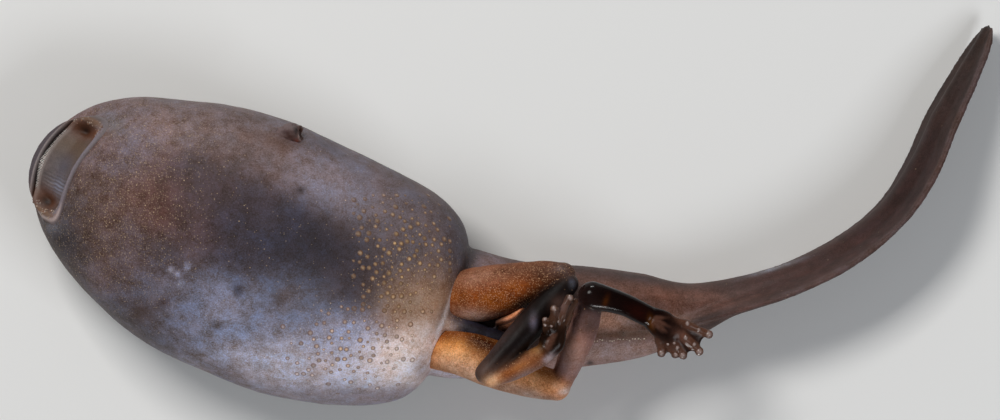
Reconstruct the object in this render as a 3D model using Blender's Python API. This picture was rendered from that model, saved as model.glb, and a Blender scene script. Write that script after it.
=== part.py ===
"""Life-size model of a late tadpole of Clinotarsus alticola, lying on its back.

The animal rests on its flattened back with the belly up, the head at -X and the tail
curving round to +X +Y. The hind legs are folded over the root of the tail. All working
sizes below are in millimetres, in plan (X, Y) and height above the floor (Z); the
meshes are written in metres.
"""
import math

import bmesh
import bpy
import numpy as np

# Common sizes
MM = 0.001
GAP = 0.3
CLOSE = 0.000001
SLOPE_STEP = 0.05
UPRIGHT = np.array([0.0, 0.0, 1.0])

# Middle of the whole animal's box in plan, which becomes the origin
MIDDLE = (0.122, 0.037)

# Body: a loft along an axis that runs down to the right in plan
BODY_SNOUT = np.array([-41.99, 3.54, 0.0])
BODY_AXIS_TURN = math.radians(-20.0)
BODY_FRONT = 0.15
BODY_REAR = 39.35
BODY_ENDS_HEIGHT = (7.2, 7.6)
BODY_ROUND = 40
BODY_RINGS = 34
BELLY_POWER = 2.25
BACK_POWER = 2.35
HEAD_LENGTH = 13.2
SLAB_LENGTH = 40.0
SLAB_HALF = 20.0
SLAB_HEIGHTS = (-5.0, 25.0)

# Distance from the snout, sideways shift, half breadth, height of back, widest, belly
BODY_STATIONS = (
    (1.75, 1.53, 4.60, 3.50, 7.20, 10.10),
    (4.37, 1.40, 7.10, 1.40, 7.20, 12.50),
    (6.98, 1.22, 8.60, 0.40, 7.30, 14.20),
    (9.60, 0.92, 9.60, 0.00, 7.40, 15.30),
    (14.84, 0.68, 11.10, -0.35, 7.50, 16.50),
    (20.08, 0.61, 11.52, -0.45, 7.50, 16.90),
    (25.32, 0.35, 11.35, -0.40, 7.50, 16.80),
    (30.56, 0.52, 10.65, -0.25, 7.60, 16.20),
    (33.17, 0.70, 10.05, 0.00, 7.70, 15.60),
    (35.79, 0.79, 9.00, 0.60, 7.80, 14.60),
    (38.41, 0.70, 5.90, 2.70, 7.90, 12.30),
)

# Oral disc: a bowl inside lips, tilted up and bent round the front of the head.
# Places on its face are shares of its half length and half breadth.
DISC_CENTRE = (-39.77, 4.87, 9.75)
DISC_LONG_TURN = math.radians(242.0)
DISC_TILT = math.radians(45.0)
DISC_HALF_LONG = 5.2
DISC_HALF_SHORT = 2.87
DISC_BEND = 0.068
DISC_POWER = 2.7
DISC_DEPTH = 2.3
DISC_ROUND = 40
DISC_RINGS = (0.30, 0.50, 0.66, 0.74, 0.80, 0.86, 0.92, 1.0)
DISC_UNDER = ((0.97, -1.2), (0.80, -2.0), (0.40, -2.3))
SOCKET = ((0.40, -2.6), (0.82, -2.3), (1.0, -1.4), (1.0, 0.5), (1.0, 3.5))
BOWL_FLOOR = -1.0
LIP_TOP = 0.15
SLIT_LINE = 0.63
SLIT_HALF_WIDTH = 0.05
SLIT_REACH = 0.80
SLIT_DEPTH = 0.9
COMB_LINE = 0.50
DENTICLES = 18
DENTICLE_SPAN = (-0.74, 0.68)
DENTICLE_SIZE = (0.13, 0.42)
PAPILLAE_PER_END = 7
PAPILLA_SPREAD = math.radians(36.0)
PAPILLA_SIZE = (0.26, 0.55)

# Eyes and nostrils, on the back and so turned to the floor
EYE_DISTANCE = 10.4
EYE_ANGLE = math.radians(36.0)
EYE_RADIUS = 1.35
EYE_SUNK = 0.85
NOSTRIL_DISTANCE = 4.6
NOSTRIL_ANGLE = math.radians(62.0)
NOSTRIL_RADIUS = 0.32
NOSTRIL_DEPTH = 0.8

# Spiracle on the left flank, and the vent tube between the thighs
SPIRACLE_DISTANCE = (19.0, 20.1, 21.0)
SPIRACLE_ANGLE = math.radians(27.0)
SPIRACLE_RADII = (0.45, 0.78, 0.72)
SPIRACLE_LIFT = (-0.25, 0.25, 0.6)
SPIRACLE_BORE = 0.38
VENT_POINTS = ((-6.6, -8.9, 11.0), (-4.0, -9.8, 11.7), (-1.6, -10.6, 11.6), (0.2, -11.0, 11.3))
VENT_RADII = (0.95, 0.85, 0.75, 0.65)
VENT_BORE = 0.3
BORE_DEPTH = 0.9

# Tail: plan centre, height, half breadth and half depth of the muscle
TAIL_STATIONS = (
    (-9.5, -7.6, 6.7, 5.40, 5.00),
    (-4.6, -8.5, 6.4, 5.85, 4.75),
    (0.8, -8.85, 6.0, 4.85, 4.55),
    (6.6, -8.8, 5.8, 4.35, 4.25),
    (11.3, -8.7, 5.5, 3.65, 3.80),
    (15.2, -8.35, 5.1, 2.45, 3.20),
    (18.6, -7.35, 4.8, 1.60, 2.75),
    (23.5, -5.9, 4.6, 1.40, 2.35),
    (29.6, -2.9, 4.45, 1.30, 2.05),
    (33.5, 0.4, 4.3, 1.22, 1.90),
    (36.05, 4.35, 4.1, 1.12, 1.65),
    (37.78, 8.35, 3.6, 1.00, 1.35),
    (39.55, 11.8, 2.9, 0.80, 1.00),
    (41.12, 14.9, 2.1, 0.55, 0.65),
    (41.85, 16.5, 1.7, 0.40, 0.45),
)
TAIL_ROLL = ((0.0, 16.0), (0.3, 17.0), (0.5, 15.0), (0.7, 16.0), (0.8, 20.0), (0.92, 24.0),
             (1.0, 26.0))
TAIL_CUTS = (0.36, 0.68)
TAIL_ROUND = 18
TAIL_RINGS = 42
TAIL_POWER = 2.1
TAIL_SLOPE_STEP = 0.004

# Fins: place along the tail against height beyond the muscle
VENTRAL_FIN = ((0.33, 0.15), (0.38, 0.8), (0.44, 1.9), (0.52, 2.5), (0.66, 2.6),
               (0.80, 2.3), (0.92, 1.5), (0.985, 0.7))
DORSAL_FIN = ((0.13, 0.4), (0.20, 1.05), (0.30, 1.45), (0.42, 2.1), (0.52, 2.45), (0.66, 2.55),
              (0.80, 2.35), (0.92, 1.55), (0.985, 0.75))
FIN_ROOT_THICK = 1.1
FIN_EDGE_THICK = 0.5
FIN_RINGS = 38

# Legs: points along the middle of each piece, with its radii side to side and up
THIGH_LEFT = (((-6.0, -7.1, 9.2), 1.9, 1.9), ((-2.6, -6.85, 11.6), 2.4, 2.35),
              ((0.8, -6.1, 12.2), 2.05, 2.1), ((3.2, -5.4, 12.6), 1.5, 1.55),
              ((4.5, -5.2, 12.8), 1.15, 1.25))
SHANK_LEFT = (((4.9, -6.0, 13.2), 1.0, 1.1), ((3.2, -7.9, 13.9), 1.3, 1.3),
              ((0.6, -10.7, 14.9), 1.25, 1.25), ((-1.5, -13.0, 15.6), 1.0, 1.0),
              ((-2.2, -13.7, 15.7), 0.95, 0.95))
TARSUS_LEFT = (((-1.7, -14.1, 15.6), 0.85, 0.85), ((0.4, -13.3, 15.7), 0.95, 0.9),
               ((2.6, -12.2, 15.8), 0.95, 0.85))
FOOT_LEFT_PALM = (((3.0, -11.9, 15.8), 0.85, 0.6), ((3.6, -10.9, 15.8), 1.15, 0.6),
                  ((3.9, -10.0, 15.8), 0.95, 0.55))
FOOT_LEFT_TOES = (
    ((3.4, -10.8, 15.9), (3.1, -9.9, 16.3), (3.05, -9.3, 16.4)),
    ((3.6, -10.4, 15.9), (3.6, -9.1, 16.5), (3.75, -8.2, 16.6)),
    ((3.9, -10.3, 15.8), (4.4, -8.6, 16.1), (5.0, -7.2, 15.9)),
    ((4.1, -10.5, 15.7), (4.8, -8.9, 15.4), (5.5, -7.5, 14.9)),
    ((4.2, -10.8, 15.6), (4.7, -9.6, 15.0), (5.1, -8.6, 14.5)),
)
THIGH_RIGHT = (((-7.2, -11.5, 9.3), 1.8, 1.9), ((-4.0, -11.95, 11.3), 2.1, 2.2),
               ((-1.4, -12.95, 11.6), 2.1, 2.15), ((1.9, -14.35, 11.8), 1.55, 1.65),
               ((3.9, -14.85, 11.8), 1.3, 1.35))
SHANK_RIGHT = (((4.45, -14.4, 12.0), 0.95, 1.05), ((5.35, -12.2, 12.3), 1.2, 1.2),
               ((6.4, -9.6, 12.7), 1.25, 1.2), ((6.9, -7.2, 13.0), 1.1, 1.1))
TARSUS_RIGHT = (((7.1, -7.0, 13.5), 1.28, 1.15), ((9.6, -7.65, 13.5), 1.0, 0.95),
                ((11.8, -8.7, 13.5), 0.95, 0.8))
FOOT_RIGHT_PALM = (((12.1, -8.85, 13.4), 0.95, 0.7), ((13.0, -9.4, 13.3), 1.25, 0.65),
                   ((13.9, -10.1, 13.2), 1.15, 0.55))
FOOT_RIGHT_TOES = (
    ((12.6, -9.9, 13.2), (12.9, -11.0, 13.0), (13.1, -12.0, 12.6)),
    ((13.2, -10.1, 13.2), (13.8, -11.2, 13.0), (14.3, -12.1, 12.6)),
    ((13.5, -10.1, 13.2), (14.3, -11.3, 13.1), (15.0, -12.2, 12.6)),
    ((13.8, -9.7, 13.2), (15.2, -10.75, 13.1), (16.4, -11.8, 12.5)),
    ((13.6, -9.0, 13.2), (15.4, -9.5, 13.1), (17.2, -10.35, 12.5)),
)
TOE_RADII = (0.45, 0.34, 0.40, 0.31, 0.38)
WEB_REACH = 0.98
WEB_HOLLOW = 0.14
WEB_THICK = 0.5
LIMB_ROUND = 14
SMALL_ROUND = 8
LIMB_SPACING = 1.2
TOE_SPACING = 0.55
CAP_STEPS = np.array([0.25, 0.6, 0.86, 0.98])

# Colours as (red, green, blue), roughness
FINISHES = {
    "belly_skin": ((0.085, 0.062, 0.060), 0.5),
    "lip_skin": ((0.110, 0.085, 0.090), 0.45),
    "leg_skin": ((0.200, 0.080, 0.022), 0.35),
    "foot_skin": ((0.030, 0.012, 0.006), 0.2),
    "tail_skin": ((0.075, 0.042, 0.035), 0.5),
    "fin_membrane": ((0.095, 0.060, 0.052), 0.45),
    "eye": ((0.010, 0.010, 0.012), 0.15),
    "tube_skin": ((0.050, 0.045, 0.055), 0.4),
}


def clear_scene():
    """Remove whatever objects the scene starts with."""
    for item in list(bpy.data.objects):
        bpy.data.objects.remove(item, do_unlink=True)


def new_collection(name):
    """A collection linked to the scene."""
    group = bpy.data.collections.new(name)
    bpy.context.scene.collection.children.link(group)
    return group


def finish_material(name):
    """A Principled material from the table of finishes."""
    found = bpy.data.materials.get(name)
    if found:
        return found
    colour, roughness = FINISHES[name]
    made = bpy.data.materials.new(name)
    made.use_nodes = True
    shader = made.node_tree.nodes["Principled BSDF"]
    shader.inputs["Base Color"].default_value = (*colour, 1.0)
    shader.inputs["Roughness"].default_value = roughness
    shader.inputs["Metallic"].default_value = 0.0
    return made


def smooth(where, at, values):
    """Cubic through the values, with slopes from neighbouring points (no overshoot at ends)."""
    at = np.asarray(at, float)
    values = np.asarray(values, float)
    if values.ndim == 1:
        values = values[:, None]
        flat = True
    else:
        flat = False
    slopes = np.gradient(values, at, axis=0)
    where = np.clip(np.asarray(where, float), at[0], at[-1])
    left = np.clip(np.searchsorted(at, where, side="right") - 1, 0, len(at) - 2)
    width = at[left + 1] - at[left]
    part = ((where - at[left]) / width)[..., None]
    width = width[..., None]
    result = ((2 * part**3 - 3 * part**2 + 1) * values[left]
              + (part**3 - 2 * part**2 + part) * width * slopes[left]
              + (3 * part**2 - 2 * part**3) * values[left + 1]
              + (part**3 - part**2) * width * slopes[left + 1])
    return result[..., 0] if flat else result


def unit(vectors):
    """Vectors scaled to length one."""
    return vectors / np.linalg.norm(vectors, axis=-1, keepdims=True)


def mesh_object(name, points, faces, finish, group):
    """An object from points in millimetres, set about the origin, its faces outwards."""
    data = bpy.data.meshes.new(name)
    placed = (np.asarray(points) - np.array([MIDDLE[0], MIDDLE[1], 0.0])) * MM
    data.from_pydata([tuple(point) for point in placed], [], faces)
    work = bmesh.new()
    work.from_mesh(data)
    bmesh.ops.recalc_face_normals(work, faces=work.faces)
    if work.calc_volume(signed=True) < 0.0:
        bmesh.ops.reverse_faces(work, faces=work.faces)
    work.to_mesh(data)
    work.free()
    data.materials.append(finish_material(finish))
    data.shade_smooth()
    made = bpy.data.objects.new(name, data)
    group.objects.link(made)
    return made


def rings_to_faces(rings, around, start_pole, end_pole):
    """Triangles between closed rings of points, with a pole at each end."""
    faces = []
    for row in range(rings - 1):
        for step in range(around):
            near = row * around + step
            beside = row * around + (step + 1) % around
            faces.append((near, beside, beside + around))
            faces.append((near, beside + around, near + around))
    last = (rings - 1) * around
    for step in range(around):
        following = (step + 1) % around
        faces.append((start_pole, following, step))
        faces.append((end_pole, last + step, last + following))
    return faces


def closed_loft(ring_points, start, end):
    """Points and faces of rings (rings, around, 3) closed by two pole points."""
    rings, around = ring_points.shape[:2]
    points = np.vstack([ring_points.reshape(-1, 3), start, end])
    return points, rings_to_faces(rings, around, rings * around, rings * around + 1)


def body_axes():
    """The body's own directions in plan: from its snout backwards, and to the animal's left."""
    back = np.array([math.cos(BODY_AXIS_TURN), math.sin(BODY_AXIS_TURN), 0.0])
    left = np.array([-math.sin(BODY_AXIS_TURN), math.cos(BODY_AXIS_TURN), 0.0])
    return back, left


def body_section(distance, grow):
    """Shift, half breadth and the heights of back, widest line and belly at a distance.

    Each size over the root of the distance to both ends is smooth, which rounds the ends.
    """
    table = np.array(BODY_STATIONS)
    at = table[:, 0]
    front, rear = BODY_FRONT, BODY_REAR

    def rounding(where):
        return np.sqrt(np.clip((where - front) * (rear - where), 0.0, None))

    def rounded(values):
        return smooth(distance, at, values / rounding(at)) * rounding(distance)

    ends = np.interp(distance, (front, rear), BODY_ENDS_HEIGHT)
    ends_at = np.interp(at, (front, rear), BODY_ENDS_HEIGHT)
    shift = smooth(distance, at, table[:, 1])
    breadth = rounded(table[:, 2]) + grow
    widest = ends + rounded(table[:, 4] - ends_at)
    back = widest - rounded(table[:, 4] - table[:, 3]) - grow
    belly = widest + rounded(table[:, 5] - table[:, 4]) + grow
    return shift, breadth, back, widest, belly


def body_points(distance, angle, grow=0.0):
    """Points of the body's skin; angle 0 is the left flank and a quarter turn is the belly."""
    shift, breadth, back, widest, belly = body_section(distance, grow)
    across = np.cos(angle)
    up = np.sin(angle)
    power = np.where(up >= 0.0, BELLY_POWER, BACK_POWER)
    side = np.sign(across) * np.abs(across) ** (2.0 / power) * breadth
    height = np.abs(up) ** (2.0 / power)
    tall = np.where(up >= 0.0, widest + height * (belly - widest), widest - height * (widest - back))
    along, left = body_axes()
    points = BODY_SNOUT + distance[..., None] * along + (shift + side)[..., None] * left
    points[..., 2] = tall
    return points


def body_mesh(grow=0.0):
    """Points and faces of the whole body, its back cut flat where it meets the floor."""
    turn = np.linspace(0.0, math.pi, BODY_RINGS + 2)[1:-1]
    length = BODY_REAR - BODY_FRONT
    distance = BODY_FRONT + length * (1.0 - np.cos(turn)) / 2.0
    angle = np.arange(BODY_ROUND) * (2.0 * math.pi / BODY_ROUND)
    rows, columns = np.meshgrid(distance, angle, indexing="ij")
    rings = body_points(rows, columns, grow)
    rings[..., 2] = np.maximum(rings[..., 2], -grow)
    along, left = body_axes()
    ends = []
    for place, height in zip((BODY_FRONT - grow, BODY_REAR + grow), BODY_ENDS_HEIGHT):
        shift = smooth(np.array([place]), *np.array(BODY_STATIONS).T[:2])[0]
        end = BODY_SNOUT + place * along + shift * left
        end[2] = height
        ends.append(end)
    return closed_loft(rings, ends[0], ends[1])


def body_spot(distance, angle):
    """A point on the body's skin with the direction straight out of it."""
    step = 0.05
    spots = body_points(np.array([distance, distance + step, distance]),
                        np.array([angle, angle, angle + step / 10.0]))
    outward = np.cross(spots[2] - spots[0], spots[1] - spots[0])
    outward = outward / np.linalg.norm(outward)
    middle = body_points(np.array([distance]), np.array([0.0]))[0]
    middle_far = body_points(np.array([distance]), np.array([math.pi]))[0]
    if np.dot(outward, spots[0] - (middle + middle_far) / 2.0) < 0.0:
        outward = -outward
    return spots[0], outward


def limb_mesh(points, sides, ups, grow=0.0, around=LIMB_ROUND, spacing=LIMB_SPACING):
    """A tube through points with oval sections and half-round ends."""
    points = np.asarray(points, float)
    sides = np.asarray(sides, float) + grow
    ups = np.asarray(ups, float) + grow
    lengths = np.concatenate([[0.0], np.cumsum(np.linalg.norm(np.diff(points, axis=0), axis=1))])
    total = lengths[-1]
    count = max(4, int(total / spacing))
    start_cap = -sides[0] * CAP_STEPS[::-1]
    end_cap = total + sides[-1] * CAP_STEPS
    along = np.concatenate([start_cap, np.linspace(0.0, total, count + 1), end_cap])
    inside = np.clip(along, 0.0, total)
    shrink = np.ones_like(along)
    shrink[:len(CAP_STEPS)] = np.sqrt(1.0 - CAP_STEPS[::-1] ** 2)
    shrink[-len(CAP_STEPS):] = np.sqrt(1.0 - CAP_STEPS**2)
    centre = smooth(inside, lengths, points)
    ahead = smooth(np.minimum(inside + SLOPE_STEP, total), lengths, points)
    behind = smooth(np.maximum(inside - SLOPE_STEP, 0.0), lengths, points)
    forward = unit(ahead - behind)
    centre = centre + forward * (along - inside)[:, None]
    across = unit(np.cross(forward, UPRIGHT))
    upward = np.cross(across, forward)
    side = smooth(inside, lengths, sides) * shrink
    up = smooth(inside, lengths, ups) * shrink
    angle = np.arange(around) * (2.0 * math.pi / around)
    rings = (centre[:, None] + (side[:, None] * np.cos(angle))[..., None] * across[:, None]
             + (up[:, None] * np.sin(angle))[..., None] * upward[:, None])
    start = points[0] - forward[0] * sides[0]
    end = points[-1] + forward[-1] * sides[-1]
    return closed_loft(rings, start, end)


def leg_mesh(piece, grow=0.0, around=LIMB_ROUND):
    """A leg piece from its table of points and radii."""
    return limb_mesh([row[0] for row in piece], [row[1] for row in piece],
                     [row[2] for row in piece], grow, around)


def tail_frame(place):
    """Centre, forward, sideways and bladewards directions and muscle sizes along the tail."""
    table = np.array(TAIL_STATIONS)
    plan = table[:, :3]
    lengths = np.concatenate([[0.0], np.cumsum(np.linalg.norm(np.diff(plan, axis=0), axis=1))])
    at = lengths / lengths[-1]
    place = np.asarray(place, float)
    centre = smooth(place, at, plan)
    forward = unit(smooth(np.minimum(place + TAIL_SLOPE_STEP, 1.0), at, plan)
                   - smooth(np.maximum(place - TAIL_SLOPE_STEP, 0.0), at, plan))
    level = unit(np.cross(forward, UPRIGHT))
    upright = np.cross(level, forward)
    roll = np.radians(np.interp(place, *np.array(TAIL_ROLL).T))[..., None]
    blade = np.cos(roll) * upright + np.sin(roll) * level
    side = np.cos(roll) * level - np.sin(roll) * upright
    sizes = smooth(place, at, table[:, 3:])
    return centre, forward, side, blade, sizes[..., 0], sizes[..., 1]


def tail_mesh(begin, end, rings, grow=0.0):
    """A length of the tail muscle between two places, with flat ends."""
    place = np.linspace(begin, end, rings)
    centre, forward, side, blade, half, deep = tail_frame(place)
    angle = np.arange(TAIL_ROUND) * (2.0 * math.pi / TAIL_ROUND)
    across = np.sign(np.cos(angle)) * np.abs(np.cos(angle)) ** (2.0 / TAIL_POWER)
    up = np.sign(np.sin(angle)) * np.abs(np.sin(angle)) ** (2.0 / TAIL_POWER)
    points = (centre[:, None] + ((half + grow)[:, None] * across)[..., None] * side[:, None]
              + ((deep + grow)[:, None] * up)[..., None] * blade[:, None])
    points[..., 2] = np.maximum(points[..., 2], -grow)
    start = centre[0] - forward[0] * grow
    finish = centre[-1] + forward[-1] * grow
    return closed_loft(points, start, finish)


def fin_mesh(profile, direction):
    """A thin blade beyond the muscle, thicker at its root, with alike faces on both sides.

    Each section has a notched root that fits the muscle, and a rounded edge.
    """
    table = np.array(profile)
    place = np.linspace(table[0, 0], table[-1, 0], FIN_RINGS)
    centre, forward, side, blade, half, deep = tail_frame(place)
    height = smooth(place, table[:, 0], table[:, 1])
    root = np.minimum(FIN_ROOT_THICK, 0.8 * half) / 2.0
    edge = np.minimum(FIN_EDGE_THICK / 2.0, root)
    drop = deep * (1.0 - np.sqrt(1.0 - (root / half) ** 2))
    middle = (root + edge) / 2.0
    section = (
        (np.zeros_like(root), deep + GAP),
        (root, deep + GAP - drop),
        (middle, deep + GAP + 0.5 * height),
        (edge, deep + GAP + 0.88 * height),
        (np.zeros_like(root), deep + GAP + height),
        (-edge, deep + GAP + 0.88 * height),
        (-middle, deep + GAP + 0.5 * height),
        (-root, deep + GAP - drop),
    )
    rings = np.stack([centre + across[:, None] * side + direction * (up[:, None] * blade)
                      for across, up in section], axis=1)
    rings[..., 2] = np.maximum(rings[..., 2], 0.0)
    around = len(section)
    count = len(place)
    faces = []
    for row in range(count - 1):
        for step in range(around):
            low = row * around + step
            high = row * around + (step + 1) % around
            if step < around // 2:
                faces.append((low, high, high + around))
                faces.append((low, high + around, low + around))
            else:
                faces.append((low, high, low + around))
                faces.append((high, high + around, low + around))
    half_way = around // 2
    for row in (0, (count - 1) * around):
        faces.append((row, row + 1, row + around - 1))
        for step in range(1, half_way - 1):
            faces.append((row + step, row + step + 1, row + around - step))
            faces.append((row + step + 1, row + around - step - 1, row + around - step))
        faces.append((row + half_way - 1, row + half_way, row + half_way + 1))
    return rings.reshape(-1, 3), faces


def disc_axes():
    """Directions of the oral disc: along the mouth, towards the hind lip, out of it, ahead."""
    long = np.array([math.cos(DISC_LONG_TURN), math.sin(DISC_LONG_TURN), 0.0])
    ahead = np.array([math.sin(DISC_LONG_TURN), -math.cos(DISC_LONG_TURN), 0.0])
    outward = math.cos(DISC_TILT) * ahead + math.sin(DISC_TILT) * UPRIGHT
    short = -math.sin(DISC_TILT) * ahead + math.cos(DISC_TILT) * UPRIGHT
    return long, short, outward, ahead


def disc_points(sideways, across, height, grow=0.0):
    """Points of the disc: an oval bent back towards its ends, raised along its own axis."""
    long, short, outward, ahead = disc_axes()
    sideways = (DISC_HALF_LONG + grow) * np.asarray(sideways, float)
    across = (DISC_HALF_SHORT + grow) * np.asarray(across, float)
    height = np.asarray(height, float)
    points = (np.array(DISC_CENTRE) + sideways[..., None] * long + across[..., None] * short
              + height[..., None] * outward)
    return points - (DISC_BEND * sideways**2)[..., None] * ahead


def disc_reach(sideways, across):
    """How far out a place is on the super-oval disc: 0 in its middle, 1 on its edge."""
    return (np.abs(sideways) ** DISC_POWER + np.abs(across) ** DISC_POWER) ** (1.0 / DISC_POWER)


def disc_rings(reach, heights, grow=0.0):
    """Rings of points round the disc, each with its reach and heights."""
    angle = np.arange(DISC_ROUND) * (2.0 * math.pi / DISC_ROUND)
    stretch = 1.0 / disc_reach(np.cos(angle), np.sin(angle))
    sideways = np.outer(reach, stretch * np.cos(angle))
    across = np.outer(reach, stretch * np.sin(angle))
    if heights is None:
        heights = disc_height(sideways, across)
    else:
        heights = np.repeat(np.array(heights)[:, None], DISC_ROUND, axis=1)
    return disc_points(sideways, across, heights, grow)


def ease(low, high, values):
    """0 below low, 1 above high, and a smooth S between them."""
    part = np.clip((values - low) / (high - low), 0.0, 1.0)
    return part * part * (3.0 - 2.0 * part)


def disc_height(sideways, across):
    """Height of the mouth's face: a bowl that rises to a comb's shelf in front, inside lips."""
    reach = disc_reach(sideways, across)
    front = ease(0.1, 0.5, -across)
    wall = np.maximum(ease(0.70, 0.90, reach), ease(SLIT_LINE, SLIT_LINE + 0.06, -across))
    bowl = BOWL_FLOOR * (1.0 - 0.72 * ease(0.22, COMB_LINE, -across))
    lip = LIP_TOP - (0.20 + 0.5 * front) * ease(0.88, 1.0, reach)
    return bowl * (1.0 - wall) + lip * wall


def disc_mesh():
    """The oral disc as one closed bowl."""
    under_reach, under_height = zip(*DISC_UNDER)
    rings = np.concatenate([disc_rings(DISC_RINGS, None), disc_rings(under_reach, under_height)])
    start = disc_points(0.0, 0.0, disc_height(0.0, 0.0))
    end = disc_points(0.0, 0.0, -DISC_DEPTH)
    return closed_loft(rings, start, end)


def slit_mesh():
    """The cutter for the slit: an upright rectangle carried along the mouth behind its front lip."""
    sideways = np.linspace(-SLIT_REACH, SLIT_REACH, 15)
    near = -SLIT_LINE + SLIT_HALF_WIDTH
    far = -SLIT_LINE - SLIT_HALF_WIDTH
    corners = ((near, -SLIT_DEPTH), (far, -SLIT_DEPTH), (far, 1.0), (near, 1.0))
    rings = np.stack([disc_points(sideways, np.full_like(sideways, across),
                                  np.full_like(sideways, height)) for across, height in corners], axis=1)
    return closed_loft(rings, rings[0].mean(axis=0), rings[-1].mean(axis=0))


def disc_socket_mesh():
    """The hollow in the head that takes the oral disc with a gap all round."""
    reach, height = zip(*SOCKET)
    rings = disc_rings(reach, height, GAP)
    return closed_loft(rings, disc_points(0.0, 0.0, height[0]), disc_points(0.0, 0.0, height[-1]))


def crosswise(forward):
    """Two directions at right angles to a third and to each other."""
    helper = UPRIGHT if abs(forward[2]) < 0.9 else np.array([1.0, 0.0, 0.0])
    across = unit(np.cross(forward, helper))
    return across, np.cross(across, forward)


def spike_mesh(base, tip, radius, around=4):
    """A small cone with a blunt tip, from its base point to its tip."""
    points = [base, base + 0.6 * (tip - base), tip]
    radii = [radius, 0.85 * radius, 0.45 * radius]
    forward = unit(tip - base)
    across, upward = crosswise(forward)
    angle = np.arange(around) * (2.0 * math.pi / around)
    ring = np.cos(angle)[:, None] * across + np.sin(angle)[:, None] * upward
    rings = np.stack([point + size * ring for point, size in zip(points, radii)])
    return closed_loft(rings, base - 0.05 * forward, tip + 0.3 * radius * forward)


def web_mesh(first, second):
    """A thin sheet between two neighbouring toes, with a hollow free edge."""
    steps = 5
    part = np.linspace(0.0, 1.0, steps)
    hollow = WEB_REACH * (1.0 - WEB_HOLLOW * np.sin(math.pi * part))
    along, over = np.meshgrid(part, part, indexing="ij")
    reach = along * hollow[None, :]
    at = np.array([0.0, 0.5, 1.0])
    one = smooth(reach, at, np.array(first))
    two = smooth(reach, at, np.array(second))
    sheet = one + (two - one) * over[..., None]
    lift = np.array([0.0, 0.0, WEB_THICK / 2.0])
    points = np.vstack([(sheet + lift).reshape(-1, 3), (sheet - lift).reshape(-1, 3)])
    faces = []
    under = steps * steps
    for row in range(steps - 1):
        for step in range(steps - 1):
            a = row * steps + step
            b = a + 1
            c = a + steps
            d = c + 1
            faces += [(a, b, d), (a, d, c), (a + under, d + under, b + under),
                      (a + under, c + under, d + under)]
    border = ([(step, step + 1) for step in range(steps - 1)]
              + [(row * steps + steps - 1, (row + 1) * steps + steps - 1) for row in range(steps - 1)]
              + [(under - 1 - step, under - 2 - step) for step in range(steps - 1)]
              + [((steps - 1 - row) * steps, (steps - 2 - row) * steps) for row in range(steps - 1)])
    for a, b in border:
        faces += [(a, b + under, b), (a, a + under, b + under)]
    return points, faces


def cylinder_mesh(base, tip, radius, around=10):
    """A plain cylinder between two points."""
    across, upward = crosswise(unit(tip - base))
    angle = np.arange(around) * (2.0 * math.pi / around)
    ring = radius * (np.cos(angle)[:, None] * across + np.sin(angle)[:, None] * upward)
    return closed_loft(np.stack([base + ring, tip + ring]), base, tip)


def keep_largest(mesh):
    """Keep the closed surface with the most volume and drop the rest."""
    work = bmesh.new()
    work.from_mesh(mesh)
    bmesh.ops.remove_doubles(work, verts=work.verts, dist=CLOSE)
    left = set(work.faces)
    shells = []
    while left:
        seed = left.pop()
        shell = {seed}
        edge_front = [seed]
        while edge_front:
            face = edge_front.pop()
            for edge in face.edges:
                for other in edge.link_faces:
                    if other in left:
                        left.remove(other)
                        shell.add(other)
                        edge_front.append(other)
        shells.append(shell)

    def size(shell):
        total = 0.0
        for face in shell:
            corners = [vert.co for vert in face.verts]
            for index in range(1, len(corners) - 1):
                total += corners[0].dot(corners[index].cross(corners[index + 1]))
        return abs(total)

    largest = max(shells, key=size)
    spare = [face for face in work.faces if face not in largest]
    bmesh.ops.delete(work, geom=spare, context="FACES")
    loose = [vert for vert in work.verts if not vert.link_faces]
    bmesh.ops.delete(work, geom=loose, context="VERTS")
    bmesh.ops.triangulate(work, faces=work.faces)
    work.to_mesh(mesh)
    work.free()


def apply_modifiers(item):
    """Turn an object's modified shape into its own mesh."""
    graph = bpy.context.evaluated_depsgraph_get()
    graph.update()
    fresh = bpy.data.meshes.new_from_object(item.evaluated_get(graph))
    old = item.data
    item.modifiers.clear()
    item.data = fresh
    bpy.data.meshes.remove(old)
    keep_largest(item.data)
    item.data.shade_smooth()


def boolean_with(item, tools, operation, cutters):
    """Cut an object by, or join it with, closed meshes, and remove those meshes."""
    group = bpy.data.collections.new("tools_" + item.name)
    cutters.children.link(group)
    made = []
    for index, (points, faces) in enumerate(tools):
        tool = mesh_object(f"tool_{item.name}_{index}", points, faces, "belly_skin", group)
        tool.hide_render = True
        tool.display_type = "WIRE"
        made.append(tool)
    step = item.modifiers.new(operation.lower(), "BOOLEAN")
    step.operation = operation
    step.operand_type = "COLLECTION"
    step.collection = group
    step.solver = "EXACT"
    step.use_self = operation == "UNION"
    apply_modifiers(item)
    for tool in made:
        bpy.data.objects.remove(tool, do_unlink=True)
    bpy.data.collections.remove(group)


def cut_each(item, tools, cutters):
    """Cut an object by closed meshes one after another."""
    for tool in tools:
        boolean_with(item, [tool], "DIFFERENCE", cutters)


def neck_slab(first, last):
    """A wide flat slab across the body between two distances from the snout."""
    along, left = body_axes()
    low, high = SLAB_HEIGHTS
    corners = []
    for distance in (first, last):
        for side, height in ((-SLAB_HALF, low), (SLAB_HALF, low), (SLAB_HALF, high), (-SLAB_HALF, high)):
            corners.append(BODY_SNOUT + distance * along + side * left + height * UPRIGHT)
    faces = [(0, 1, 2, 3), (4, 7, 6, 5), (0, 4, 5, 1), (1, 5, 6, 2), (2, 6, 7, 3), (3, 7, 4, 0)]
    return np.array(corners), faces


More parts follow.
